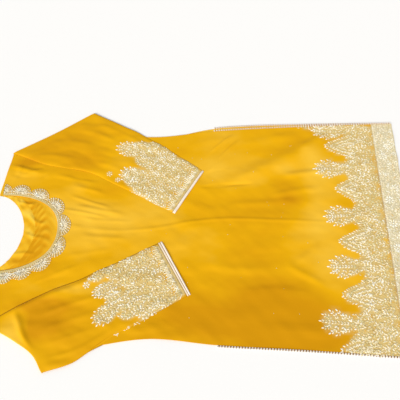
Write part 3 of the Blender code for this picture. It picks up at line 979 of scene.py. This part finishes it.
def makeFacing(s):
    # a band along the back neckline, no wider than the gap to the front one
    back = neckline(*cut["backNeck"], 400)
    front = neckline(*cut["frontNeck"], 400)
    gap = np.interp(back[:, 1], front[:, 1], front[:, 0]) - back[:, 0] - s["clear"]
    reach = np.minimum(s["width"], gap)
    seen = np.flatnonzero(reach > 0.006)
    pick = seen[np.linspace(0, len(seen) - 1, s["columns"]).astype(int)]
    share = withEdges(np.linspace(0, 1, s["rows"] + 1))[:, None]
    x = back[pick, 0] + 0.0006 + reach[pick] * share
    y = np.broadcast_to(back[pick, 1], x.shape)
    plan = onTable(x, y)
    pucker = 0.00012 * np.sin(y * 420 + 2 * np.sin(y * 90)) * share
    z = backTop(plan) + 0.0002 + pucker * (1 - share) - 0.0005 * ease((share - 0.85) / 0.15)
    plain = np.zeros(x.size)
    values = {"worked": plain, "shade": plain, "shadeAndTone": 0.3 + 0.6 * insideWave(plan * 0.6)}
    piece = newPiece("backNeckFacing", raised(plan, z), gridFaces(*x.shape), mustardInside, values, s["thick"])
    return finishPiece(piece, ["back_neck_facing"])


facingPiece = makeFacing(facingSet)
print("back ready")

# front panel and hem border
frontSet = {"rows": 236, "arm": 14, "shoulder": 24, "neck": 64}


def seamShade(across):
    # painted shadow in the groove of the seam above the border: weaker towards its left end, and uneven
    return (0.25 + 0.75 * ease((0.20 - across) / 0.08)) * (0.7 + 0.3 * np.sin(across * 150))


def makeFront(s):
    # the front's under side, given its wall upwards, with its lower edge pressed into the seam
    points = bodyGrid(s, cut["frontNeck"], cut["borderX"], halfWidth)
    plan = onTable(points[..., 0], points[..., 1])
    up = cut["borderX"] - points[..., 0]
    lip = 0.0001 * ease(1 - up / 0.006)
    z = frontUnder(plan) - lip
    values = {
        "worked": workedGround([hemLeaves, borderLeaves], up, points[..., 1]),
        # painted shadow along the front's lower edge, in the seam groove
        "shade": 0.40 * ease(1 - up / 0.006) * seamShade(points[..., 1]),
        "shadeAndTone": shadeAndToneAt(plan),
    }
    faces = gridFaces(*up.shape)
    piece = newPiece("frontPanelCloth", raised(plan, z), faces, mustard, values, level["cloth"])
    return finishPiece(piece, ["front_panel"]), flatArea(points)


frontPiece, frontArea = makeFront(frontSet)

borderSet = {"rows": 16, "columns": 150, "gap": 0.0001, "worked": 0.85}


def makeBorder(s):
    # straight rows from the seam to the hem, as wide as the cut, riding on the same creases
    across = withEdges(np.linspace(-1, 1, s["columns"] + 1))
    down = withEdges(np.linspace(0, 1, s["rows"] + 1))[:, None]
    x = cut["borderX"] + s["gap"] + (cut["hemX"] - cut["borderX"] - s["gap"]) * down
    y = across * halfWidth(x)
    x = np.broadcast_to(x, y.shape)
    plan = onTable(x, y)
    up = cut["borderX"] - x
    z = frontUnder(plan) + 0.0001
    values = {
        "worked": np.maximum(workedGround([hemLeaves, borderLeaves], up, y, 0.3), s["worked"]),
        # painted shadow along the border's upper edge, in the seam groove
        "shade": 0.35 * ease(1 + up / 0.0035) * seamShade(y),
        "shadeAndTone": shadeAndToneAt(plan),
    }
    faces = gridFaces(*y.shape)
    piece = newPiece("hemBorderCloth", raised(plan, z), faces, borderCloth, values, level["cloth"])
    return finishPiece(piece, ["front_hem_border"]), flatArea(np.stack([x, y], -1))


borderPiece, borderArea = makeBorder(borderSet)


def frontSurface(up, across):
    plan = onTable(cut["borderX"] - up, across)
    return plan, frontTop(plan)


def frontWork(name, leaves, beads):
    return finishPiece(stitched(name, leaves, beads, frontSurface, True, goldThread), [])


hemStitches = frontWork("hemStitches", hemLeaves, hemBeads)
borderStitches = frontWork("borderStitches", borderLeaves, borderBeads)
print("front ready")

# sleeves, folded over the front
sleeveSets = {
    "left": {
        "sign": 1,
        "fold": ((-0.4945, 0.198), (-0.396, 0.260), (-0.300, 0.329)),
        "topEdge": ((-0.4945, 0.198), (-0.4035, 0.163), (-0.294, 0.140), (-0.199, 0.092), (-0.074, 0.025)),
        "underEdge": ((-0.300, 0.329), (-0.160, 0.254), (-0.004, 0.144)),
        "cuff": 0.007,
        "peek": 0.0,
        "creases": (
            (((-0.46, 0.190), (-0.39, 0.190), (-0.31, 0.180)), 0.014, 0.0012),
            (((-0.42, 0.228), (-0.35, 0.236), (-0.27, 0.215)), 0.018, 0.0012),
            (((-0.35, 0.275), (-0.29, 0.262), (-0.22, 0.232)), 0.014, 0.0012),
            (((-0.30, 0.300), (-0.22, 0.262), (-0.14, 0.215)), 0.012, 0.0010),
            (((-0.30, 0.175), (-0.24, 0.160), (-0.17, 0.125)), 0.014, 0.0009),
            (((-0.20, 0.215), (-0.14, 0.175), (-0.07, 0.125)), 0.012, 0.0008),
            (((-0.36, 0.215), (-0.31, 0.195), (-0.27, 0.165)), 0.009, -0.0008),
        ),
    },
    "right": {
        "sign": -1,
        "fold": ((-0.468, -0.233), (-0.400, -0.266), (-0.352, -0.298), (-0.330, -0.330)),
        "topEdge": ((-0.468, -0.233), (-0.367, -0.174), (-0.2745, -0.133), (-0.102, -0.046)),
        "underEdge": (
            (-0.330, -0.330), (-0.2745, -0.312), (-0.206, -0.263), (-0.102, -0.205), (-0.034, -0.171),
        ),
        "cuff": 0.010,
        "peek": 0.0085,
        "creases": (
            (((-0.46, -0.232), (-0.36, -0.182), (-0.28, -0.150), (-0.17, -0.100)), 0.012, 0.0022),
            (((-0.37, -0.205), (-0.31, -0.182), (-0.22, -0.150)), 0.010, -0.0012),
            (((-0.36, -0.220), (-0.30, -0.196), (-0.22, -0.172)), 0.010, 0.0016),
            (((-0.36, -0.252), (-0.30, -0.232), (-0.22, -0.205)), 0.014, 0.0015),
            (((-0.34, -0.278), (-0.29, -0.262), (-0.22, -0.240)), 0.010, 0.0010),
            (((-0.34, -0.305), (-0.28, -0.292), (-0.18, -0.236)), 0.008, 0.0016),
            (((-0.415, -0.192), (-0.392, -0.235), (-0.364, -0.288), (-0.340, -0.332)), 0.013, 0.0030),
            (((-0.19, -0.205), (-0.13, -0.178), (-0.08, -0.150)), 0.012, 0.0009),
            (((-0.25, -0.165), (-0.18, -0.135), (-0.12, -0.100)), 0.011, 0.0008),
        ),
    },
}
sleeveGrid = {
    "across": 44, "root": 8, "bend": 10, "folded": 150,
    "edgeRound": 0.0100, "seamClear": 0.0004, "cuffClear": 0.0003,
}


def sleevePlan(s, share, reach):
    # plan point of the folded part, share across from top to underarm edge, reach from fold to cuff
    top, under = smoothPath(s["topEdge"], reach), smoothPath(s["underEdge"], reach)
    fold = smoothPath(s["fold"], share)
    ends = np.array(s["fold"][0]), np.array(s["fold"][-1])
    bow = fold - (ends[0] + (ends[1] - ends[0]) * share[..., None])
    fade = (1 - reach[..., None]) ** 3
    wander = 0.0008 * np.sin(reach * 26 + 1) * np.sin(math.pi * reach) * (1 - 2 * share)
    aside = unit(under - top) * (peekOut(s, share, reach) + wander)[..., None]
    return top + (under - top) * share[..., None] + bow * fade + aside + settled


def peekOut(s, share, reach):
    # how far the lower layer slips out past the upper one at the underarm edge
    along = ease((reach - 0.26) / 0.20) * ease((0.90 - reach) / 0.28)
    return s["peek"] * along * np.clip((share - 0.992) / 0.008, 0, 1)


def edgeLoft(s, share, width):
    # 0 at the two long edges, 1 a little way in: a pressed fold, as a quarter of a sine
    away = np.minimum(share, 1 - share) * width / sleeveGrid["edgeRound"]
    return np.sin(math.pi / 2 * np.clip(away, 0, 1))


def sleeveWidth(s, reach):
    # straight across, from one long edge to the other
    return np.linalg.norm(smoothPath(s["topEdge"], reach) - smoothPath(s["underEdge"], reach), axis=-1)


def sleeveCrease(s, plan):
    # its own ripples and creases, never far into the layer below
    lift = 1.2 * rippled(plan, 3)
    return smoothFloor(creased(lift, plan, s["creases"]), -0.0006)


def sleeveHeight(s, share, reach, plan, side):
    # height of the folded sleeve; side is -1 on what was its under side and now lies on top
    loft = edgeLoft(s, share, sleeveWidth(s, reach))
    slab = level["sleeveMid"] + side * level["sleeveHalf"] * loft
    calm = ease(reach / 0.06)
    lift = (frontUnder(plan) - level["front"]) * calm
    lift = lift + sleeveCrease(s, plan) * calm * loft * np.where(side < 0, 1.0, 0.25)
    drop = 0.0010 * (1 - loft) * calm + 0.12 * peekOut(s, share, reach)
    return 2 * level["foldCentre"] - slab + lift - drop


def roundTube(across):
    # shares all round a flat tube, out over one layer and back over the other, and which layer it is
    inner = across[1:-1]
    side = np.concatenate([np.full(len(across), -1.0), np.full(len(inner), 1.0)])
    return np.concatenate([across, inner[::-1]]), side


def foldedLength(s):
    return np.linalg.norm(np.subtract(s["topEdge"][-1], s["topEdge"][0]))


def newTube(name, s, rings, material, values):
    # rings of points to an open tube whose wall goes inwards
    faces = gridFaces(rings.shape[0], rings.shape[1], around=True)
    if s["sign"] < 0:
        faces = faces[:, ::-1]
    piece = newPiece(name, rings, faces, material, values, level["sleeveCloth"])
    piece.modifiers["clothWall"].offset = -1.0
    return piece


def makeSleeve(name, s):
    # rings of a tube: straight from the armhole to the fold, half round it, then on to the cuff
    across = np.concatenate([np.linspace(0, 1, sleeveGrid["across"] + 1)[:-1], [0.984, 0.992, 1.0]])
    share, side = roundTube(across)
    seam = armhole(len(across) - 1) * (1, s["sign"])
    seam = onTable(seam[:, 0], seam[:, 1])
    seam = seam + unit(turnedLeft(np.gradient(seam, axis=0)) * s["sign"]) * sleeveGrid["seamClear"]
    ringSeam = between(share, across, seam)
    fold = smoothPath(s["fold"], share) + settled
    lean = unit(turnedLeft(np.gradient(smoothPath(s["fold"], across), axis=0)) * s["sign"])
    outward = between(share, across, lean)
    width = float(sleeveWidth(s, np.array([0.0]))[0])
    loft = edgeLoft(s, share, width)
    slab = level["sleeveMid"] + side * level["sleeveHalf"] * loft
    rings = []
    for step in np.linspace(0, 1, sleeveGrid["root"] + 1):
        rings.append(np.c_[ringSeam + (fold - ringSeam) * step, slab])
    radius = (level["foldCentre"] - slab)[:, None]
    for turn in np.linspace(0, math.pi, sleeveGrid["bend"] + 1)[1:]:
        height = level["foldCentre"] - radius[:, 0] * math.cos(turn)
        rings.append(np.c_[fold + outward * radius * math.sin(turn), height])
    last = 1 - (s["cuff"] + sleeveGrid["cuffClear"]) / foldedLength(s)
    reach = np.linspace(0, last, sleeveGrid["folded"] + 1)[1:, None] * np.ones(len(share))
    shares = np.broadcast_to(share, reach.shape)
    plan = sleevePlan(s, shares, reach)
    z = sleeveHeight(s, shares, reach, plan, np.broadcast_to(side, reach.shape))
    rings = np.concatenate([np.array(rings), raised(plan, z)])
    up, cross = sleeveLocal(s, shares, reach)
    worked = np.zeros(rings.shape[:2])
    worked[-len(reach):] = workedGround([s["leaves"]], up, cross)
    shade = np.zeros(worked.shape)
    # a painted shadow line where the upper layer's edge lies over the slipped-out lower one
    if s["peek"]:
        shade[-len(reach):, len(across) - 2] = 0.9 * ease(peekOut(s, 1.0, reach[:, 0]) / 0.005)
    values = {"worked": worked, "shade": shade, "shadeAndTone": shadeAndToneAt(rings[..., :2])}
    return newTube(name, s, rings, mustard, values)


def sleeveLengths(s):
    # along the top and the underarm edge
    return [runOf(smoothPath(s[edge], np.linspace(0, 1, 60)))[-1] for edge in ("topEdge", "underEdge")]


def sleeveLocal(s, share, reach):
    # up from the cuff and across from the middle, in metres
    topRun, underRun = sleeveLengths(s)
    return (1 - reach) * (topRun + (underRun - topRun) * share), (share - 0.5) * sleeveWidth(s, reach)


def slipped(s, across, reach):
    # share gained past 0.992, where the slip is stretched out over the last of the width
    width = sleeveWidth(s, reach)
    past = np.maximum(across - 0.492 * width, 0)
    return 0.008 * np.clip(past / (0.008 * width + peekOut(s, 1.0, reach)), 0, 1)


def sleeveSurface(s):
    # finds share and reach for a place up from the cuff, by going round four times
    topRun, underRun = sleeveLengths(s)

    def surface(up, across):
        share = np.full(up.shape, 0.5)
        for _ in range(4):
            reach = np.clip(1 - up / (topRun + (underRun - topRun) * share), 0, 1)
            share = np.clip(0.5 + across / sleeveWidth(s, reach), 0.0, 0.992)
            share = share + slipped(s, across, reach)
        plan = sleevePlan(s, share, reach)
        return plan, sleeveHeight(s, share, reach, plan, -1.0)

    return surface


cuffWork = {
    "left": {
        "sprigs": ((0.236, 0.024, -0.12, 0.066, 0.048), (0.182, -0.040, -0.05, 0.058, 0.044)),
        "rosettes": ((0.200, -0.064, 0.0085), (0.172, -0.066, 0.0080)),
        "tops": (
            (-0.080, 0.120), (-0.060, 0.150), (-0.040, 0.165), (-0.015, 0.155), (-0.002, 0.128),
            (0.008, 0.165), (0.024, 0.205), (0.045, 0.205), (0.060, 0.185), (0.080, 0.165),
        ),
        "low": 0.010,
    },
    "right": {
        "sprigs": (
            (0.190, -0.024, 0.0, 0.055, 0.030), (0.172, 0.004, 0.05, 0.045, 0.022),
            (0.214, 0.034, 0.16, 0.060, 0.040),
        ),
        "rosettes": ((0.192, -0.0535, 0.0090), (0.180, -0.064, 0.0060)),
        "tops": (
            (-0.080, 0.150), (-0.060, 0.180), (-0.048, 0.150), (-0.038, 0.126), (-0.030, 0.124),
            (-0.022, 0.145), (-0.012, 0.128), (-0.004, 0.116), (0.004, 0.120), (0.012, 0.138),
            (0.020, 0.148), (0.036, 0.172), (0.055, 0.150), (0.080, 0.085),
        ),
        "low": 0.013,
    },
}


slipWork = {"up": (0.086, 0.106, 0.128, 0.150, 0.176), "each": 6, "stray": 0.006}


def cuffPlaces(w, s):
    # sprigs and rosettes above a dense ground that ends along tops; up is 0 at the cuff
    leaves, beads = [], []
    for up, across, lean, length, width in w["sprigs"]:
        made = sprig((up, across), length, width, lean, (0.0084, 0.0040, 0.0013))
        leaves.append(made[0])
        beads.append(made[1])
    for up, across, radius in w["rosettes"]:
        made = rosette((up, across), radius, 6)
        leaves.append(made[0])
        beads.append(made[1])
    tops = np.array(w["tops"]).T

    def below(across):
        return float(np.interp(across, *tops)) + 0.004

    def flow(up, across):
        return 0.9 * np.sin(across * 2 * math.pi / 0.024) + 0.5 * np.sin(up * 90)

    upRange = w["low"] + 0.014, 0.215
    leaf = (0.0084, 0.0041, 0.0012)
    leaves.append(scrolls(upRange, (-0.081, 0.082), (0.0225, 0.0122), below, leaf, (0.25, 0.9)))
    for across in np.arange(-0.074, 0.075, 0.0185):  # fans of long petals next to the cuff
        turn = np.linspace(-0.75, 0.75, 6)
        root = w["low"], across + 0.004 * np.sin(turn)
        leaves.append(places(*root, turn, 0.0210, 0.0034, 0.0011, rng.uniform(0.3, 0.9, 6)))
        edge = w["low"] + 0.0225 * np.cos(turn), across + 0.0245 * np.sin(turn)
        beads.append(places(*edge, 0, 0.0030, 0.0028, 0.0014, rng.uniform(0.5, 1.0, 6)))
    upRange = w["low"] + 0.006, 0.20
    fill = grains(upRange, (-0.080, 0.080), filling["pitch"], flow, filling["size"], filling["tint"])
    leaves.append(thinned(fill[fill[:, 0] < np.interp(fill[:, 1], *tops) - 0.004], 0.5))
    kept = []
    for group in (np.concatenate(leaves), np.concatenate(beads)):
        reach = np.clip(1 - group[:, 0] / np.mean(sleeveLengths(s)), 0, 1)
        kept.append(group[np.abs(group[:, 1]) < sleeveWidth(s, reach) / 2 - 0.0016])
    if s["peek"]:
        # small tufts on the lower layer, where it slips out
        up = np.repeat(slipWork["up"], slipWork["each"])
        count = len(up)
        up = up + rng.uniform(-slipWork["stray"], slipWork["stray"], count)
        reach = 1 - up / sleeveLengths(s)[1]
        across = sleeveWidth(s, reach) / 2 + peekOut(s, 1.0, reach) * rng.uniform(0.3, 0.75, count)
        tufts = places(up, across, rng.uniform(-0.6, 0.6, count), 0.0060, 0.0030, 0.0010, 0.9)
        kept[0] = np.concatenate([kept[0], tufts])
    return kept


sleevePieces, sleeveStitches = {}, {}
for side in ("left", "right"):
    spec = sleeveSets[side]
    spec["leaves"], spec["beads"] = cuffPlaces(cuffWork[side], spec)
    made = makeSleeve("sleeveCloth_" + side, spec)
    sleevePieces[side] = finishPiece(made, ["sleeve_" + side])
    surface, mirrored = sleeveSurface(spec), side == "left"
    made = stitched("cuffStitches_" + side, spec["leaves"], spec["beads"], surface, mirrored, goldThread)
    sleeveStitches[side] = finishPiece(made, [])
print("sleeves ready")

# cuff trims
# each rail of a trim: its middle, half width and height
cuffTrim = {
    "left": {"rails": ((0.0035, 0.0033, 0.0005),), "tints": (0.93,)},
    "right": {"rails": ((0.0024, 0.0023, 0.0004), (0.0077, 0.0023, 0.0005)), "tints": (0.80, 1.0)},
}


def makeCuffTrim(name, s, t):
    # a flattened ring round the cuff, with a cord standing up along each rail
    share, side = roundTube(np.linspace(0, 1, 121))
    along = np.linspace(0.0, s["cuff"], 22)
    reach = 1 - (s["cuff"] - along[:, None]) / foldedLength(s) * np.ones(len(share))
    shares = np.broadcast_to(share, reach.shape)
    plan = sleevePlan(s, shares, reach)
    z = sleeveHeight(s, shares, reach, plan, np.broadcast_to(side, reach.shape))
    sunk = -0.0004
    rise = np.full(reach.shape, sunk)
    between = (along > t["rails"][0][0]) & (along < t["rails"][-1][0])
    # the sunk strip between the rails is dark: painted shade between the cords
    tint = np.where(between[:, None], 0.04, 0.55) * np.ones(reach.shape)
    for (centre, half, height), railTint in zip(t["rails"], t["tints"]):
        away = np.clip(np.abs(along - centre) / half, 0, 1)[:, None]
        twist = 0.16 * np.sin(2 * math.pi * (shares * sleeveWidth(s, reach) / 0.0042 + along[:, None] / 0.006))
        bulge = np.sqrt(1 - away**2)
        rise = np.maximum(rise, sunk + (height + 0.0007) * bulge * (1 + twist))
        # where the twisted cord dips, its tint is darker: painted shade in the grooves of the twist
        tint = np.where(bulge > 0.25, railTint - 0.25 * (twist < -0.08), tint)
    return newTube(name, s, raised(plan, z - side * rise), piping, {"tint": tint})


for side in ("left", "right"):
    made = makeCuffTrim("cuffCord_" + side, sleeveSets[side], cuffTrim[side])
    finishPiece(made, ["cuff_trim_" + side])
print("cuffs ready")

# neck trim
neckSet = {
    "band": 0.0125,
    "scallop": 0.0190,
    "fans": (-0.010, 0.095, 0.187, 0.288, 0.395, 0.519, 0.645, 0.760, 0.874, 0.985, 1.090),
    "rows": 16,
    "columns": 340,
}


def neckFrame(steps):
    # places along the front neckline, their outward directions and run, on the table
    edge = onTable(*neckline(*cut["frontNeck"], 1200).T)
    run = runOf(edge)
    even = np.linspace(0, run[-1], steps)
    edge = between(even, run, edge)
    return edge, unit(-turnedLeft(np.gradient(edge, axis=0))), even


def neckSurface(run, away):
    # points at a run along the neckline and a distance out from it
    edge, out, even = neckFrame(1600)
    plan = between(run, even, edge) + between(run, even, out) * away[..., None]
    shoulder = settled[0] + laid(cut["neckX"] + 0.0025, 0.0)[0]
    plan[..., 0] = np.maximum(plan[..., 0], shoulder)
    return plan, frontTop(plan) + 0.0003


def makeNeckTrim(s):
    # a band whose outer edge swings out by a power of a sine, with a fan of petals on each scallop
    total = neckFrame(600)[2][-1]
    run = np.linspace(0, total, s["columns"])
    phase = np.interp(run / total, s["fans"], np.arange(len(s["fans"])) + 0.5)
    swing = np.abs(np.sin(math.pi * phase)) ** 0.6 * ease((run / total - 0.035) / 0.015)
    reach = s["band"] + s["scallop"] * swing
    share = withEdges(np.linspace(0, 1, s["rows"] + 1))[:, None]
    away = 0.0008 + reach * share
    plan, z = neckSurface(np.broadcast_to(run, away.shape), away)
    roll = 0.0007 * np.sqrt(np.clip(1 - ((away - 0.003) / 0.003) ** 2, 0, 1))
    z = z + roll - 0.0002 * share
    tint = 0.24 - 0.14 * ease((away - 0.0055) / 0.002)
    faces = gridFaces(*away.shape)[:, ::-1]
    band = newPiece("neckBand", raised(plan, z), faces, goldThread, {"tint": tint}, 0.0003)
    leaves, beads = [], []
    root = 0.0075
    for share in s["fans"][1:]:
        centre = share * total
        turn = np.linspace(-1.30, 1.30, 11)
        long = np.where(np.arange(11) % 2, 0.0175, 0.0210)
        foot = root + 0.0045 * np.cos(turn), centre + 0.0050 * np.sin(turn)
        leaves.append(places(*foot, turn, long, 0.0031, 0.0008, rng.uniform(0.58, 0.94, 11)))
        turn = np.linspace(-1.2, 1.2, 7)
        foot = root, centre + 0.003 * np.sin(turn)
        leaves.append(places(*foot, turn, 0.0085, 0.0032, 0.0018, rng.uniform(0.6, 0.9, 7)))
        turn = np.linspace(-1.45, 1.45, 14)
        rim = root + 0.0232 * np.cos(turn), centre + 0.0228 * np.sin(turn)
        beads.append(places(*rim, 0, 0.0028, 0.0028, 0.0012, rng.uniform(0.5, 1.0, 14)))
        turn = np.linspace(-1.35, 1.35, 10)
        rim = root + 0.0150 * np.cos(turn), centre + 0.0150 * np.sin(turn)
        beads.append(places(*rim, 0, 0.0030, 0.0030, 0.0016, rng.uniform(0.5, 0.9, 10)))
    row = np.arange(0.003, total - 0.002, 0.0046)
    leaves.append(places(0.0066, row, math.pi / 2, 0.0050, 0.0030, 0.0014, rng.uniform(0.35, 0.75, len(row))))
    row = np.arange(0.003, total - 0.002, 0.0036)
    leaves.append(places(0.0012, row, 1.2, 0.0062, 0.0022, 0.0007, rng.uniform(0.15, 0.5, len(row))))

    def surface(up, along):
        plan, z = neckSurface(along, up)
        return plan, z + 0.0004

    def inside(group):
        return group[(group[:, 1] > 0.002) & (group[:, 1] < total - 0.002)]

    leaves, beads = inside(np.concatenate(leaves)), inside(np.concatenate(beads))
    made = stitched("neckStitches", leaves, beads, surface, False, goldThread)
    return finishPiece(band, ["neck_trim"]), finishPiece(made, [])


neckPiece, neckStitches = makeNeckTrim(neckSet)
print("neck ready")

# slit edgings
loopSet = {
    "start": 0.0235, "pitch": 0.0031, "clear": 0.0004, "long": 0.0019, "wide": 0.0010, "thread": 0.0007,
    "ring": 10, "tube": 5,
}


def makeEdging(name, sign, width, base, s):
    # a row of small rings of thread, each a squashed torus, standing out from the slit's edge
    x = np.arange(s["start"], cut["hemX"] - 0.001, s["pitch"])
    small = np.where(np.arange(len(x)) % 2, 0.8 if base == 0.0 else 0.5, 1.0)[:, None, None]
    edge = onTable(x, sign * (width(x) + s["clear"]))
    along = unit(np.gradient(edge, axis=0))
    out = turnedLeft(along) * sign
    ringTurn, tubeTurn = (np.arange(s[key]) * 2 * math.pi / s[key] for key in ("ring", "tube"))
    ring, tube = np.meshgrid(ringTurn, tubeTurn, indexing="ij")
    radial = s["thread"] * np.cos(tube)
    outward = small * (s["long"] + (s["long"] + radial) * np.cos(ring))
    sideways = small * (s["wide"] + radial) * np.sin(ring)
    lift = s["thread"] * 1.3 * np.sin(tube)
    edge, out, along = (v[:, None, None] for v in (edge, out, along))
    plan = edge + out * outward[..., None] + along * sideways[..., None]
    z = np.broadcast_to(base + s["thread"] * 1.3 + lift, plan.shape[:-1])
    i, j = np.meshgrid(np.arange(s["ring"]), np.arange(s["tube"]), indexing="ij")
    row, nextRow = i * s["tube"], (i + 1) % s["ring"] * s["tube"]
    nextJ = (j + 1) % s["tube"]
    one = np.stack([row + j, nextRow + j, nextRow + nextJ, row + nextJ], -1).reshape(-1, 4)
    faces = (np.arange(len(x))[:, None, None] * s["ring"] * s["tube"] + one).reshape(-1, 4)
    if sign > 0:
        faces = faces[:, ::-1]
    # every second ring is smaller and darker: dark rings standing in for the shadows in the gaps between the
    # pale rings
    tint = np.where(np.arange(len(x)) % 2, 0.15 if sign < 0 else 0.4, 1.0)
    return newPiece(name, raised(plan, z), faces, piping, {"tint": np.repeat(tint, s["ring"] * s["tube"])})


for side, sign in (("left", 1), ("right", -1)):
    for layer, base in (("back", 0.0), ("front", level["front"])):
        width = backLeftWidth if (side, layer) == ("left", "back") else halfWidth
        made = makeEdging("slitLoops_" + layer + "_" + side, sign, width, base, loopSet)
        finishPiece(made, [layer + "_slit_edging_" + side])
print("edgings ready")

print("garment ready")
